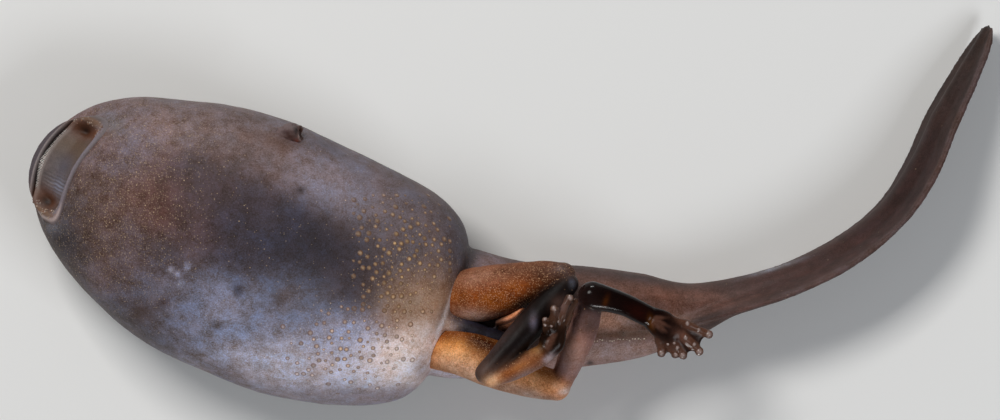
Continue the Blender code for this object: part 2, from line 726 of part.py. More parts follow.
def eye_spheres(side, radius):
    """A ball for one eye, sunk in the skin of the back of the head."""
    angle = -EYE_ANGLE if side > 0 else EYE_ANGLE - math.pi
    spot, outward = body_spot(EYE_DISTANCE, angle)
    centre = spot - EYE_SUNK * outward
    rows, around = 7, 12
    polar = np.linspace(0.0, math.pi, rows + 2)[1:-1]
    turn = np.arange(around) * (2.0 * math.pi / around)
    polar, turn = np.meshgrid(polar, turn, indexing="ij")
    rings = centre + radius * np.stack([np.sin(polar) * np.cos(turn), np.sin(polar) * np.sin(turn),
                                        np.cos(polar)], axis=-1)
    up = np.array([0.0, 0.0, radius])
    return closed_loft(rings, centre + up, centre - up)


def nostril_pits():
    """Two short drills into the skin of the snout."""
    pits = []
    for angle in (-NOSTRIL_ANGLE, NOSTRIL_ANGLE - math.pi):
        spot, outward = body_spot(NOSTRIL_DISTANCE, angle)
        pits.append(cylinder_mesh(spot - NOSTRIL_DEPTH * outward, spot + outward, NOSTRIL_RADIUS))
    return pits


def spiracle_path():
    """Points along the spiracle's tube, rising from the left flank towards the rear."""
    points = []
    for distance, lift in zip(SPIRACLE_DISTANCE, SPIRACLE_LIFT):
        spot, outward = body_spot(distance, SPIRACLE_ANGLE)
        points.append(spot + lift * outward)
    return np.array(points)


def end_bore(path, radius):
    """A drill into the end of a tube, along its last stretch."""
    path = np.asarray(path, float)
    forward = unit(path[-1] - path[-2])
    return cylinder_mesh(path[-1] - BORE_DEPTH * forward, path[-1] + BORE_DEPTH * forward, radius, 8)


def make_body(group, cutters):
    """The head and the trunk, parted by a thin cut, with the head's hollows."""
    points, faces = body_mesh()
    head = mesh_object("head", points, faces, "belly_skin", group)
    sockets = [eye_spheres(1, EYE_RADIUS + GAP), eye_spheres(-1, EYE_RADIUS + GAP)]
    cut_each(head, [neck_slab(HEAD_LENGTH, HEAD_LENGTH + SLAB_LENGTH), disc_socket_mesh(), *sockets,
                    *nostril_pits()], cutters)
    trunk = mesh_object("trunk", points, faces, "belly_skin", group)
    joint = HEAD_LENGTH + GAP
    cut_each(trunk, [neck_slab(joint - SLAB_LENGTH, joint)], cutters)
    for name, side in (("eye_left", 1), ("eye_right", -1)):
        ball, ball_faces = eye_spheres(side, EYE_RADIUS)
        mesh_object(name, ball, ball_faces, "eye", group)


def make_oral_disc(group, cutters):
    """The mouth: lips, bowl and slit, with its denticles and the papillae at both ends."""
    points, faces = disc_mesh()
    disc = mesh_object("oral_disc", points, faces, "lip_skin", group)
    _, _, outward, _ = disc_axes()
    cut_each(disc, [slit_mesh()], cutters)
    pieces = []
    width, height = DENTICLE_SIZE
    for place in np.linspace(*DENTICLE_SPAN, DENTICLES):
        base = disc_points(place, -COMB_LINE, -0.75)
        pieces.append(spike_mesh(base, base + (0.3 + height) * outward, width))
    width, height = PAPILLA_SIZE
    for end in (0.0, math.pi):
        for index, turn in enumerate(np.linspace(-PAPILLA_SPREAD, PAPILLA_SPREAD, PAPILLAE_PER_END)):
            angle = end + turn
            reach = 0.80 if index % 2 else 0.70
            reach /= disc_reach(math.cos(angle), math.sin(angle))
            base = disc_points(reach * math.cos(angle), reach * math.sin(angle), -0.7)
            pieces.append(spike_mesh(base, base + (0.45 + height) * outward, width, 5))
    boolean_with(disc, pieces, "UNION", cutters)


def make_tail(group, cutters):
    """The tail's muscle in three lengths, and its two fins."""
    length = np.linalg.norm(np.diff(np.array(TAIL_STATIONS)[:, :3], axis=0), axis=1).sum()
    gap = GAP / length
    borders = (0.0, TAIL_CUTS[0], TAIL_CUTS[0] + gap, TAIL_CUTS[1], TAIL_CUTS[1] + gap, 1.0)
    for index, name in enumerate(("tail_base", "tail_middle", "tail_end")):
        begin, end = borders[2 * index:2 * index + 2]
        rings = int(TAIL_RINGS * (end - begin)) + 2
        points, faces = tail_mesh(begin, end, rings)
        piece = mesh_object(name, points, faces, "tail_skin", group)
        if name == "tail_base":
            cut_each(piece, [body_mesh(GAP)], cutters)
    for name, profile, direction in (("ventral_fin", VENTRAL_FIN, 1.0), ("dorsal_fin", DORSAL_FIN, -1.0)):
        points, faces = fin_mesh(profile, direction)
        mesh_object(name, points, faces, "fin_membrane", group)


def foot_pieces(palm, toes):
    """The palm, the toes and the webs of one foot."""
    pieces = [leg_mesh(palm, 0.0, 12)]
    at = np.linspace(0.0, 1.0, len(TOE_RADII))
    for toe in toes:
        path = smooth(at, np.array([0.0, 0.5, 1.0]), np.array(toe))
        pieces.append(limb_mesh(path, TOE_RADII, TOE_RADII, 0.0, SMALL_ROUND, TOE_SPACING))
    for first, second in zip(toes[:-1], toes[1:]):
        pieces.append(web_mesh(first, second))
    return pieces


def make_leg(side, thigh, shank, tarsus, palm, toes, group, cutters):
    """One folded hind leg, each piece cut clear of the one it grows from."""
    tail = tail_mesh(0.0, 0.5, 30, GAP)
    points, faces = leg_mesh(thigh)
    piece = mesh_object("thigh_" + side, points, faces, "leg_skin", group)
    cut_each(piece, [body_mesh(GAP), tail], cutters)
    points, faces = leg_mesh(shank)
    piece = mesh_object("shank_" + side, points, faces, "leg_skin", group)
    cut_each(piece, [leg_mesh(thigh, GAP), tail], cutters)
    points, faces = leg_mesh(tarsus)
    piece = mesh_object("tarsus_" + side, points, faces, "foot_skin", group)
    cut_each(piece, [leg_mesh(shank, GAP)], cutters)
    pieces = foot_pieces(palm, toes)
    foot = mesh_object("foot_" + side, *pieces[0], "foot_skin", group)
    boolean_with(foot, pieces[1:], "UNION", cutters)
    cut_each(foot, [leg_mesh(tarsus, GAP)], cutters)


def make_tubes(group, cutters):
    """The spiracle on the left flank and the vent tube between the thighs."""
    path = spiracle_path()
    points, faces = limb_mesh(path, SPIRACLE_RADII, SPIRACLE_RADII, 0.0, 14, 0.4)
    spiracle = mesh_object("spiracle", points, faces, "tube_skin", group)
    cut_each(spiracle, [body_mesh(GAP), end_bore(path, SPIRACLE_BORE)], cutters)
    points, faces = limb_mesh(VENT_POINTS, VENT_RADII, VENT_RADII, 0.0, 14, 0.6)
    vent = mesh_object("vent_tube", points, faces, "tube_skin", group)
    cut_each(vent, [body_mesh(GAP), tail_mesh(0.0, 0.5, 30, GAP), leg_mesh(THIGH_LEFT, GAP),
                    leg_mesh(THIGH_RIGHT, GAP), leg_mesh(SHANK_LEFT, GAP),
                    end_bore(VENT_POINTS, VENT_BORE)], cutters)


def main():
    """Build every piece of the animal."""
    clear_scene()
    group = new_collection("tadpole")
    cutters = new_collection("cutters")
    make_body(group, cutters)
    make_oral_disc(group, cutters)
    make_tail(group, cutters)
    make_leg("left", THIGH_LEFT, SHANK_LEFT, TARSUS_LEFT, FOOT_LEFT_PALM, FOOT_LEFT_TOES,
             group, cutters)
    make_leg("right", THIGH_RIGHT, SHANK_RIGHT, TARSUS_RIGHT, FOOT_RIGHT_PALM, FOOT_RIGHT_TOES,
             group, cutters)
    make_tubes(group, cutters)


main()
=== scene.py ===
"""Surfaces and finishes of a life-size tadpole that lies on its back, belly up.

Working sizes are in millimetres, in plan (X, Y) and height above the floor (Z), as the
solids are; meshes are written in metres.
"""
import math

import bpy
import numpy as np
from bpy.props import FloatProperty, FloatVectorProperty, IntProperty, PointerProperty
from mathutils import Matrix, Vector
from mathutils.bvhtree import BVHTree


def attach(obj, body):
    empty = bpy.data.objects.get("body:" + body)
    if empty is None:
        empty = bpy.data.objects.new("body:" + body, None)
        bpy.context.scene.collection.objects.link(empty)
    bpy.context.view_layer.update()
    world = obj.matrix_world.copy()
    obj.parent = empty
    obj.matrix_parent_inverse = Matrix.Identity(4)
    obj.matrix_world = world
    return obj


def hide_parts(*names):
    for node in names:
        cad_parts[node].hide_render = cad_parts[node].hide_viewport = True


bl_info = {
    "name": "Tadpole on its back",
    "version": (1, 0, 0),
    "blender": (4, 5, 0),
    "location": "View3D > Sidebar > Tadpole",
    "description": "Skin, mouth, legs, glands and studio for a life-size tadpole",
    "category": "Add Mesh",
}

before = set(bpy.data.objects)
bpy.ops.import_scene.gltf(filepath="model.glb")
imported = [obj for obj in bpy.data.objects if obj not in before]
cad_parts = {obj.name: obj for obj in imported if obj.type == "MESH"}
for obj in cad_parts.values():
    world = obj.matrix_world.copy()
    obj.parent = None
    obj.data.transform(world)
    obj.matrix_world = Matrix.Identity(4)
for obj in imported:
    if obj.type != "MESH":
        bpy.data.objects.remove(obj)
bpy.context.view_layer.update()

# Common sizes
MM = 0.001
MIDDLE = np.array([0.122, 0.037, 0.0])
FULL_TURN = 2.0 * math.pi

# Body, as the solids have it: distance, shift, half breadth, back, widest line, belly
BODY_SNOUT = np.array([-41.99, 3.54, 0.0])
BODY_TURN = math.radians(-20.0)
BODY_BACK = np.array([math.cos(BODY_TURN), math.sin(BODY_TURN), 0.0])
BODY_LEFT = np.array([-math.sin(BODY_TURN), math.cos(BODY_TURN), 0.0])
BODY_ENDS = (0.15, 39.35)
BODY_ENDS_HEIGHT = (7.2, 7.6)
BELLY_POWER = 2.25
BACK_POWER = 2.35
BODY_STATIONS = np.array((
    (1.75, 1.53, 4.60, 3.50, 7.20, 10.10),
    (4.37, 1.40, 7.10, 1.40, 7.20, 12.50),
    (6.98, 1.22, 8.60, 0.40, 7.30, 14.20),
    (9.60, 0.92, 9.60, 0.00, 7.40, 15.30),
    (14.84, 0.68, 11.10, -0.35, 7.50, 16.50),
    (20.08, 0.61, 11.52, -0.45, 7.50, 16.90),
    (25.32, 0.35, 11.35, -0.40, 7.50, 16.80),
    (30.56, 0.52, 10.65, -0.25, 7.60, 16.20),
    (33.17, 0.70, 10.05, 0.00, 7.70, 15.60),
    (35.79, 0.79, 9.00, 0.60, 7.80, 14.60),
    (38.41, 0.70, 5.90, 2.70, 7.90, 12.30),
))
# Soft folds of the skin: size and share of the relief
FOLDS = ((2.4, 1.0), (1.1, 0.6), (0.55, 0.35))

# Oral disc, as the solids have it
DISC_CENTRE = np.array([-39.77, 4.87, 9.75])
DISC_TURN = math.radians(242.0)
DISC_TILT = math.radians(45.0)
DISC_HALF_LONG = 5.2
DISC_HALF_SHORT = 2.87
DISC_BEND = 0.068
DISC_POWER = 2.7
DISC_DEPTH = 2.3
DISC_LONG = np.array([math.cos(DISC_TURN), math.sin(DISC_TURN), 0.0])
DISC_AHEAD = np.array([math.sin(DISC_TURN), -math.cos(DISC_TURN), 0.0])
UPRIGHT = np.array([0.0, 0.0, 1.0])
DISC_OUT = math.cos(DISC_TILT) * DISC_AHEAD + math.sin(DISC_TILT) * UPRIGHT
DISC_SHORT = -math.sin(DISC_TILT) * DISC_AHEAD + math.cos(DISC_TILT) * UPRIGHT

# Mouth's face, in shares of its half length and half breadth, with heights along its axis
BOWL_FLOOR = -1.0
LIP_TOP = 0.15
SLIT_LINE = 0.63
SLIT_WIDTH = 0.035
SLIT_REACH = 0.84
COMB_LINE = 0.54
CORNER_PITS = ((-0.67, -0.19), (0.685, -0.21))

# Tail, as the solids have it: plan centre, height, half breadth and half depth. The fins rise
# more gently at their ends than the solids' fins: place along the tail and height.
TAIL_STATIONS = np.array((
    (-9.5, -7.6, 6.7, 5.40, 5.00),
    (-4.6, -8.5, 6.4, 5.85, 4.75),
    (0.8, -8.85, 6.0, 4.85, 4.55),
    (6.6, -8.8, 5.8, 4.35, 4.25),
    (11.3, -8.7, 5.5, 3.65, 3.80),
    (15.2, -8.35, 5.1, 2.45, 3.20),
    (18.6, -7.35, 4.8, 1.60, 2.75),
    (23.5, -5.9, 4.6, 1.40, 2.35),
    (29.6, -2.9, 4.45, 1.30, 2.05),
    (33.5, 0.4, 4.3, 1.22, 1.90),
    (36.05, 4.35, 4.1, 1.12, 1.65),
    (37.78, 8.35, 3.6, 1.00, 1.35),
    (39.55, 11.8, 2.9, 0.80, 1.00),
    (41.12, 14.9, 2.1, 0.55, 0.65),
    (41.85, 16.5, 1.7, 0.40, 0.45),
))
TAIL_ROLL = np.array(((0.0, 16.0), (0.3, 17.0), (0.5, 15.0), (0.7, 16.0), (0.8, 20.0), (0.92, 24.0),
                      (1.0, 26.0)))
TAIL_POWER = 2.1
# Distances along the body over which its colours turn into the tail's
TAIL_SEAM = (38.6, 40.4)
# Muscle fibres that show through the tail's skin, over a run of this length
TAIL_RUN = 64.0
FIBRE_LENGTH = 2.6
FIBRE_WIDTH = 0.28
FIBRE_DEPTH = 0.16
VENTRAL_FIN = np.array(((0.30, 0.0), (0.33, 0.15), (0.38, 0.8), (0.44, 1.9), (0.52, 2.5), (0.66, 2.6),
                        (0.80, 2.3), (0.92, 1.5), (0.985, 0.7), (1.0, 0.2)))
DORSAL_FIN = np.array(((0.08, 0.0), (0.13, 0.4), (0.20, 1.05), (0.30, 1.45), (0.42, 2.1), (0.52, 2.45),
                       (0.66, 2.55), (0.80, 2.35), (0.92, 1.55), (0.985, 0.75), (1.0, 0.2)))
FIN_ROOT_THICK = 1.1
FIN_EDGE_THICK = 0.5
FIN_LIFT = 0.3

# Legs, as the solids have them: points with radii side to side and up. The webs between the
# toes reach a little further than the solids' webs and are thinner.
THIGH_LEFT = (((-6.0, -7.1, 9.2), 1.9, 1.9), ((-2.6, -6.85, 11.6), 2.4, 2.35),
              ((0.8, -6.1, 12.2), 2.05, 2.1), ((3.2, -5.4, 12.6), 1.5, 1.55),
              ((4.5, -5.2, 12.8), 1.15, 1.25))
SHANK_LEFT = (((4.9, -6.0, 13.2), 1.0, 1.1), ((3.2, -7.9, 13.9), 1.3, 1.3),
              ((0.6, -10.7, 14.9), 1.25, 1.25), ((-1.5, -13.0, 15.6), 1.0, 1.0),
              ((-2.2, -13.7, 15.7), 0.95, 0.95))
TARSUS_LEFT = (((-1.7, -14.1, 15.6), 0.85, 0.85), ((0.4, -13.3, 15.7), 0.95, 0.9),
               ((2.6, -12.2, 15.8), 0.95, 0.85))
PALM_LEFT = (((3.0, -11.9, 15.8), 0.85, 0.6), ((3.6, -10.9, 15.8), 1.15, 0.6),
             ((3.9, -10.0, 15.8), 0.95, 0.55))
TOES_LEFT = (
    ((3.4, -10.8, 15.9), (3.1, -9.9, 16.3), (3.05, -9.3, 16.4)),
    ((3.6, -10.4, 15.9), (3.6, -9.1, 16.5), (3.75, -8.2, 16.6)),
    ((3.9, -10.3, 15.8), (4.4, -8.6, 16.1), (5.0, -7.2, 15.9)),
    ((4.1, -10.5, 15.7), (4.8, -8.9, 15.4), (5.5, -7.5, 14.9)),
    ((4.2, -10.8, 15.6), (4.7, -9.6, 15.0), (5.1, -8.6, 14.5)),
)
THIGH_RIGHT = (((-7.2, -11.5, 9.3), 1.8, 1.9), ((-4.0, -11.95, 11.3), 2.1, 2.2),
               ((-1.4, -12.95, 11.6), 2.1, 2.15), ((1.9, -14.35, 11.8), 1.55, 1.65),
               ((3.9, -14.85, 11.8), 1.3, 1.35))
SHANK_RIGHT = (((4.45, -14.4, 12.0), 0.95, 1.05), ((5.35, -12.2, 12.3), 1.2, 1.2),
               ((6.4, -9.6, 12.7), 1.25, 1.2), ((6.9, -7.2, 13.0), 1.1, 1.1))
TARSUS_RIGHT = (((7.1, -7.0, 13.5), 1.28, 1.15), ((9.6, -7.65, 13.5), 1.0, 0.95),
                ((11.8, -8.7, 13.5), 0.95, 0.8))
PALM_RIGHT = (((12.1, -8.85, 13.4), 0.95, 0.7), ((13.0, -9.4, 13.3), 1.25, 0.65),
              ((13.9, -10.1, 13.2), 1.15, 0.55))
TOES_RIGHT = (
    ((12.6, -9.9, 13.2), (12.9, -11.0, 13.0), (13.1, -12.0, 12.6)),
    ((13.2, -10.1, 13.2), (13.8, -11.2, 13.0), (14.3, -12.1, 12.6)),
    ((13.5, -10.1, 13.2), (14.3, -11.3, 13.1), (15.0, -12.2, 12.6)),
    ((13.8, -9.7, 13.2), (15.2, -10.75, 13.1), (16.4, -11.8, 12.5)),
    ((13.6, -9.0, 13.2), (15.4, -9.5, 13.1), (17.2, -10.35, 12.5)),
)
TOE_RADII = (0.45, 0.34, 0.40, 0.31, 0.38)
# Ridges of the toe bones under the skin of the palm
RAY_RADII = (0.20, 0.26, 0.30)
RAY_SUNK = 0.22
RAY_COLOUR = "#5e4034"
WEB_REACH = 1.0
WEB_HOLLOW = 0.08
WEB_THICK = 0.44

# Spiracle, from distances and an angle on the body, with marks in plan that end in a strength
SPIRACLE_DISTANCE = (19.0, 20.1, 21.0)
SPIRACLE_ANGLE = math.radians(27.0)
SPIRACLE_RADII = (0.45, 0.78, 0.72)
SPIRACLE_BORE = 0.42
SPIRACLE_LIFT = (-0.25, 0.25, 0.6)
SPIRACLE_MARKS = (
    ("#6a5048", (-19.9, 6.4), (0.9, 0.35), -20.0, 0.7),
    # Dark brown hollow and near-black open end, in the next two marks: brown skin with painted shade inside
    # the opening
    ("#34180f", (-19.2, 6.95), (0.5, 0.36), -15.0, 0.95),
    ("#150a09", (-18.7, 7.4), (0.16, 0.3), 15.0, 0.95),
    ("#7c3a28", (-18.65, 6.4), (0.22, 0.16), 0.0, 0.8),
    ("#a08a84", (-18.42, 6.75), (0.08, 0.28), 10.0, 0.55),
)
# Vent tube, and a small fold of skin between it, the left thigh and the left shank
VENT_POINTS = ((-6.6, -8.9, 11.0), (-4.0, -9.8, 11.7), (-1.6, -10.6, 11.6), (0.2, -11.0, 11.3))
VENT_RADII = (0.95, 0.85, 0.75, 0.65)
GAP_FOLD = (((-0.9, -9.2, 11.0), 0.35, 1.6), ((0.2, -8.75, 11.4), 0.36, 1.9),
            ((1.3, -7.8, 11.4), 0.12, 1.7))

# Eyes and nostrils
EYE_DISTANCE = 10.4
EYE_ANGLE = math.radians(36.0)
EYE_RADIUS = 1.35
EYE_SUNK = 0.85
NOSTRIL_DISTANCE = 4.6
NOSTRIL_ANGLE = math.radians(62.0)

# Soft colour marks on the belly, among them painted sheen and painted shade: colour, plan place, half
# sizes, turn in degrees
BELLY_MARKS_SHEEN_AND_SHADE = (
    ("#614f4a", (-35.0, 1.4), (2.6, 4.2), 0.0),
    ("#5a2800", (-31.4, 1.0), (2.7, 2.2), -15.0),
    ("#54454a", (-28.2, 0.2), (1.6, 2.6), 0.0),
    ("#76666c", (-33.7, 5.5), (2.2, 2.4), 0.0),
    ("#806a67", (-30.6, 8.2), (4.5, 1.6), 0.0),
    ("#6f6468", (-25.8, 9.0), (5.0, 1.4), -5.0),
    ("#3c2e33", (-26.0, 2.2), (3.6, 2.6), 0.0),
    ("#725f5c", (-22.8, 6.2), (3.4, 2.2), -10.0),
    ("#8a8089", (-15.1, 3.3), (4.6, 2.0), -30.0),
    # Dark band over the middle: the dark gut under the skin, darkened further as painted shade where the
    # sheen is missing
    ("#2b2730", (-16.2, -3.2), (4.6, 2.6), -10.0),
    ("#3c3640", (-21.7, -1.7), (3.2, 2.6), 0.0),
    ("#5f5256", (-33.3, -2.6), (3.0, 2.6), 0.0),
    ("#463c3c", (-37.8, -2.6), (1.6, 2.6), 0.0),
    # Painted sheen: pale blue-grey light on the lower flank
    ("#86899f", (-25.8, -8.6), (3.8, 1.9), -15.0),
    ("#5b5359", (-29.8, -7.4), (2.6, 2.2), 0.0),
    # Painted sheen: the next six marks are the pale, bluish and whitish light over the lower rear of the
    # belly
    ("#c0bccb", (-18.4, -13.2), (4.4, 1.9), 0.0),
    ("#6b6a78", (-19.3, -8.2), (3.4, 2.4), 0.0),
    ("#fbeeec", (-10.2, -12.4), (2.6, 1.3), 12.0),
    ("#dfc2b4", (-7.3, -11.0), (1.3, 1.5), 0.0),
    ("#a4a8c4", (-14.3, -11.0), (2.2, 1.7), 0.0),
    ("#d4cbd6", (-14.2, -13.3), (2.8, 0.9), 5.0),
    ("#655a5c", (-8.8, -2.1), (3.4, 3.4), 0.0),
    ("#a07c60", (-8.4, -7.8), (2.6, 2.0), 0.0),
    # Painted shade: a dark spot among the glands
    ("#3a3035", (-13.2, -6.0), (1.8, 1.8), 0.0),
    # Painted shade: darker rear rim and top rim, in the next two marks
    ("#4a4044", (-4.7, -1.5), (1.0, 4.5), 10.0),
    ("#62565a", (-9.7, 2.7), (4.0, 1.6), -28.0),
    # Painted rim light: a pale lower edge
    ("#857d88", (-17.0, -15.9), (7.0, 0.8), 0.0),
    # Painted shade: a darker lower left edge
    ("#544c52", (-34.1, -8.7), (2.2, 1.6), -45.0),
)
# Smaller marks laid over them in order, all of one strength; among them painted highlights, painted shadow
# and painted shade
SPOT_STRENGTH = 0.8
BELLY_SPOTS_GLINTS_AND_SHADE = (
    ("#63565d", (-25.2, -14.0), (2.8, 0.9), -24.0),
    # Where the painted sheen fades at the lower rear corner
    ("#8a7c84", (-7.2, -13.7), (0.9, 1.0), 0.0),
    # Painted shade at the edge behind the spiracle
    ("#5c5258", (-16.3, 6.3), (1.9, 0.8), -25.0),
    ("#4c4246", (-30.3, -3.4), (1.7, 1.0), -30.0),
    ("#71636a", (-36.0, -5.9), (1.3, 0.7), -50.0),
    ("#a2a4ba", (-29.6, -4.7), (0.20, 0.16), 20.0),
    ("#9699b2", (-29.0, -5.1), (0.26, 0.14), -30.0),
    ("#9093ac", (-28.1, -4.5), (0.20, 0.30), 10.0),
    ("#8a8ea4", (-28.7, -5.9), (0.22, 0.16), 0.0),
    ("#3a2924", (-30.2, -7.6), (0.5, 0.3), 20.0),
    ("#46352f", (-32.1, -8.4), (0.7, 0.5), 15.0),
    ("#564844", (-19.9, -7.1), (0.9, 0.45), 30.0),
    ("#4e4340", (-25.6, -9.6), (0.4, 0.3), 0.0),
    ("#2c1e1c", (-23.7, -6.5), (0.35, 0.45), 0.0),
    ("#2a1f20", (-18.3, 2.2), (0.30, 0.22), 0.0),
    # Painted highlights: pale blue-grey beside the two corners of the mouth, in the next two spots
    ("#716e73", (-34.8, 8.1), (1.0, 0.6), -40.0),
    ("#7c7a80", (-40.1, -0.9), (0.8, 0.5), -30.0),
    # Painted shadow under the mouth
    ("#33292a", (-39.2, -2.2), (1.3, 0.8), -30.0),
    ("#5e463c", (-20.2, 6.3), (1.6, 0.6), -20.0),
    # Painted shade in the crotch between body and legs
    ("#3a3644", (-4.8, -8.9), (0.9, 0.6), -10.0),
    ("#ece4e2", (-6.15, -9.7), (2.3, 0.13), 70.0),
    ("#e4dcdc", (-6.75, -12.6), (0.6, 0.16), 80.0),
)
BACK_COLOUR = "#4c4142"

# Colours along the tail. Each leg's tables give thigh, shank, tarsus, palm and toes in that
# order: colour, share of cells with gold specks, wetness and grain.
TAIL_COLOURS = ((0.0, "#544445"), (0.14, "#684c44"), (0.34, "#5c4139"), (0.5, "#462b25"),
                (0.75, "#321d1a"), (1.0, "#33241e"))
TAIL_FLANK = "#8f706c"
# Painted rim light: a pale outer edge on the fin of the belly's side
PAINTED_FIN_RIM_LIGHT = "#57433f"
LEG_COLOURS = {
    "left": ("#803e0c", "#0d0505", "#84502f", "#1f1008", "#5a3d2e"),
    "right": ("#ab6426", "#82605a", "#0a0201", "#100503", "#5a3c2f"),
}
WEB_COLOUR = "#140806"
LEG_GOLD = {"left": (0.95, 0.0, 0.2, 0.0, 0.0), "right": (0.9, 0.08, 0.0, 0.0, 0.0)}
# Where the gold specks of each leg are thickest: plan place, half sizes, turn
LEG_SPECKS = {"left": ((-3.0, -7.4), (2.8, 1.8), 15.0), "right": ((-3.0, -13.0), (3.0, 2.0), -20.0)}
LEG_WET = {"left": (0.0, 0.3, 0.1, 0.9, 0.9), "right": (0.0, 0.0, 0.9, 0.9, 0.9)}
LEG_GRAIN = {"left": (1.0, 0.3, 0.8, 0.1, 0.1), "right": (1.0, 0.5, 0.1, 0.1, 0.1)}

# Soft marks on the legs, among them painted highlights and painted shade, laid over in order: colour, plan
# place, half sizes, turn, strength
LEG_MARKS_HIGHLIGHTS_AND_SHADE = {
    "left": (
        ("#a8806c", (-2.9, -5.3), (1.8, 0.6), 8.0, 0.6),
        ("#6e4630", (1.4, -4.5), (3.0, 0.5), 7.0, 0.75),
        # Painted shade at the thigh's far end
        ("#4f3222", (3.0, -5.1), (1.5, 0.6), 0.0, 0.75),
        ("#5c5350", (4.7, -4.6), (0.9, 0.6), 0.0, 0.7),
        # Painted highlight on the knee
        ("#8a92a4", (5.3, -5.9), (0.20, 0.28), 0.0, 0.6),
        ("#a98a7c", (-3.3, -8.9), (1.3, 0.55), -10.0, 0.75),
        # Painted shade between thigh and shank, in the next three marks
        ("#1c0d07", (-0.6, -9.35), (1.6, 0.45), 10.0, 0.95),
        ("#150a06", (1.6, -7.9), (2.4, 0.75), 36.0, 0.95),
        ("#0a0505", (3.7, -7.0), (1.8, 0.9), 35.0, 0.95),
        # Painted highlight on the shank
        ("#7f7788", (1.95, -9.2), (0.22, 0.45), 0.0, 0.6),
        ("#4c3e3c", (-1.3, -11.1), (2.0, 0.4), 50.0, 0.8),
        # Painted shade in the hollow between shank and tarsus
        ("#0a0605", (0.7, -12.0), (1.6, 0.30), 40.0, 0.95),
        ("#5a4740", (-2.5, -13.6), (0.7, 1.0), 0.0, 0.8),
        # Painted highlight on the heel
        ("#f0b888", (-1.6, -14.5), (0.6, 0.4), 20.0, 0.9),
        ("#a8622c", (0.2, -13.4), (1.4, 0.25), 32.0, 0.6),
        ("#86706a", (0.6, -14.2), (1.8, 0.25), 26.0, 0.8),
        ("#a97440", (2.2, -11.7), (0.35, 0.3), 30.0, 0.8),
        # Painted highlight: a wet glint at the ankle
        ("#c4b4ba", (3.3, -12.4), (0.35, 0.22), 40.0, 0.9),
        ("#120804", (3.2, -10.7), (0.9, 1.1), -10.0, 0.85),
        ("#7a5f58", (4.3, -7.8), (0.5, 0.5), 0.0, 0.6),
    ),
    "right": (
        # Bright orange skin of the thigh lightened as painted highlight, then a painted highlight along its
        # middle
        ("#e89a48", (-4.9, -11.6), (1.1, 0.9), -10.0, 0.9),
        ("#ecb482", (-4.0, -12.6), (1.7, 0.6), -18.0, 0.9),
        ("#3c1402", (-2.3, -11.1), (2.1, 0.7), -22.0, 1.0),
        ("#7a3608", (-5.6, -10.4), (1.3, 0.35), 12.0, 0.8),
        ("#f0c0a0", (-3.2, -13.7), (2.4, 0.45), -18.0, 0.85),
        ("#b0886c", (-1.0, -14.8), (3.2, 0.4), -18.0, 0.8),
        ("#e0a06c", (2.0, -14.5), (1.7, 0.6), -15.0, 0.9),
        ("#7a4420", (3.0, -13.6), (0.8, 0.5), -25.0, 0.8),
        ("#b09080", (2.4, -15.9), (2.4, 0.4), -16.0, 0.85),
        # Painted highlight on the knee
        ("#c0a89c", (4.7, -15.3), (0.5, 0.24), 15.0, 0.9),
        ("#c4906c", (4.1, -14.8), (0.5, 0.25), 10.0, 0.8),
        ("#b08a7c", (5.2, -11.8), (0.9, 1.3), 15.0, 0.85),
        ("#4a3630", (6.8, -9.4), (0.7, 0.8), 15.0, 0.85),
        ("#1c0d0a", (7.0, -7.9), (1.3, 0.6), 0.0, 0.9),
        ("#4a2404", (8.2, -7.55), (0.16, 0.42), -20.0, 0.6),
        ("#2c0a03", (11.0, -8.5), (0.8, 0.5), -20.0, 0.5),
        ("#5c3408", (12.2, -9.35), (0.20, 0.42), 10.0, 0.75),
        ("#745044", (14.9, -10.5), (0.6, 0.4), -35.0, 0.5),
    ),
}

# Pale toe pads seen from above, plan place and radius: tips and the tubercles under the joints.
# Their pale tops are partly the pads' own colour and partly painted glint
PAD_COLOUR_AND_GLINT = "#8c7872"
TOE_PADS = {
    "right": (((13.1, -12.0), 0.26), ((14.35, -12.1), 0.22), ((14.95, -12.2), 0.28),
              ((16.4, -11.85), 0.30), ((17.25, -10.35), 0.30), ((15.35, -9.4), 0.20),
              ((16.35, -9.95), 0.17), ((15.2, -10.65), 0.20), ((15.95, -11.2), 0.20),
              ((14.5, -11.5), 0.18), ((14.2, -11.1), 0.14), ((13.65, -11.2), 0.14)),
    "left": (((5.15, -7.15), 0.24), ((3.7, -8.05), 0.24), ((2.95, -9.0), 0.22), ((4.1, -9.2), 0.14),
             ((4.6, -9.1), 0.15), ((3.5, -9.6), 0.14), ((2.92, -9.5), 0.14)),
}

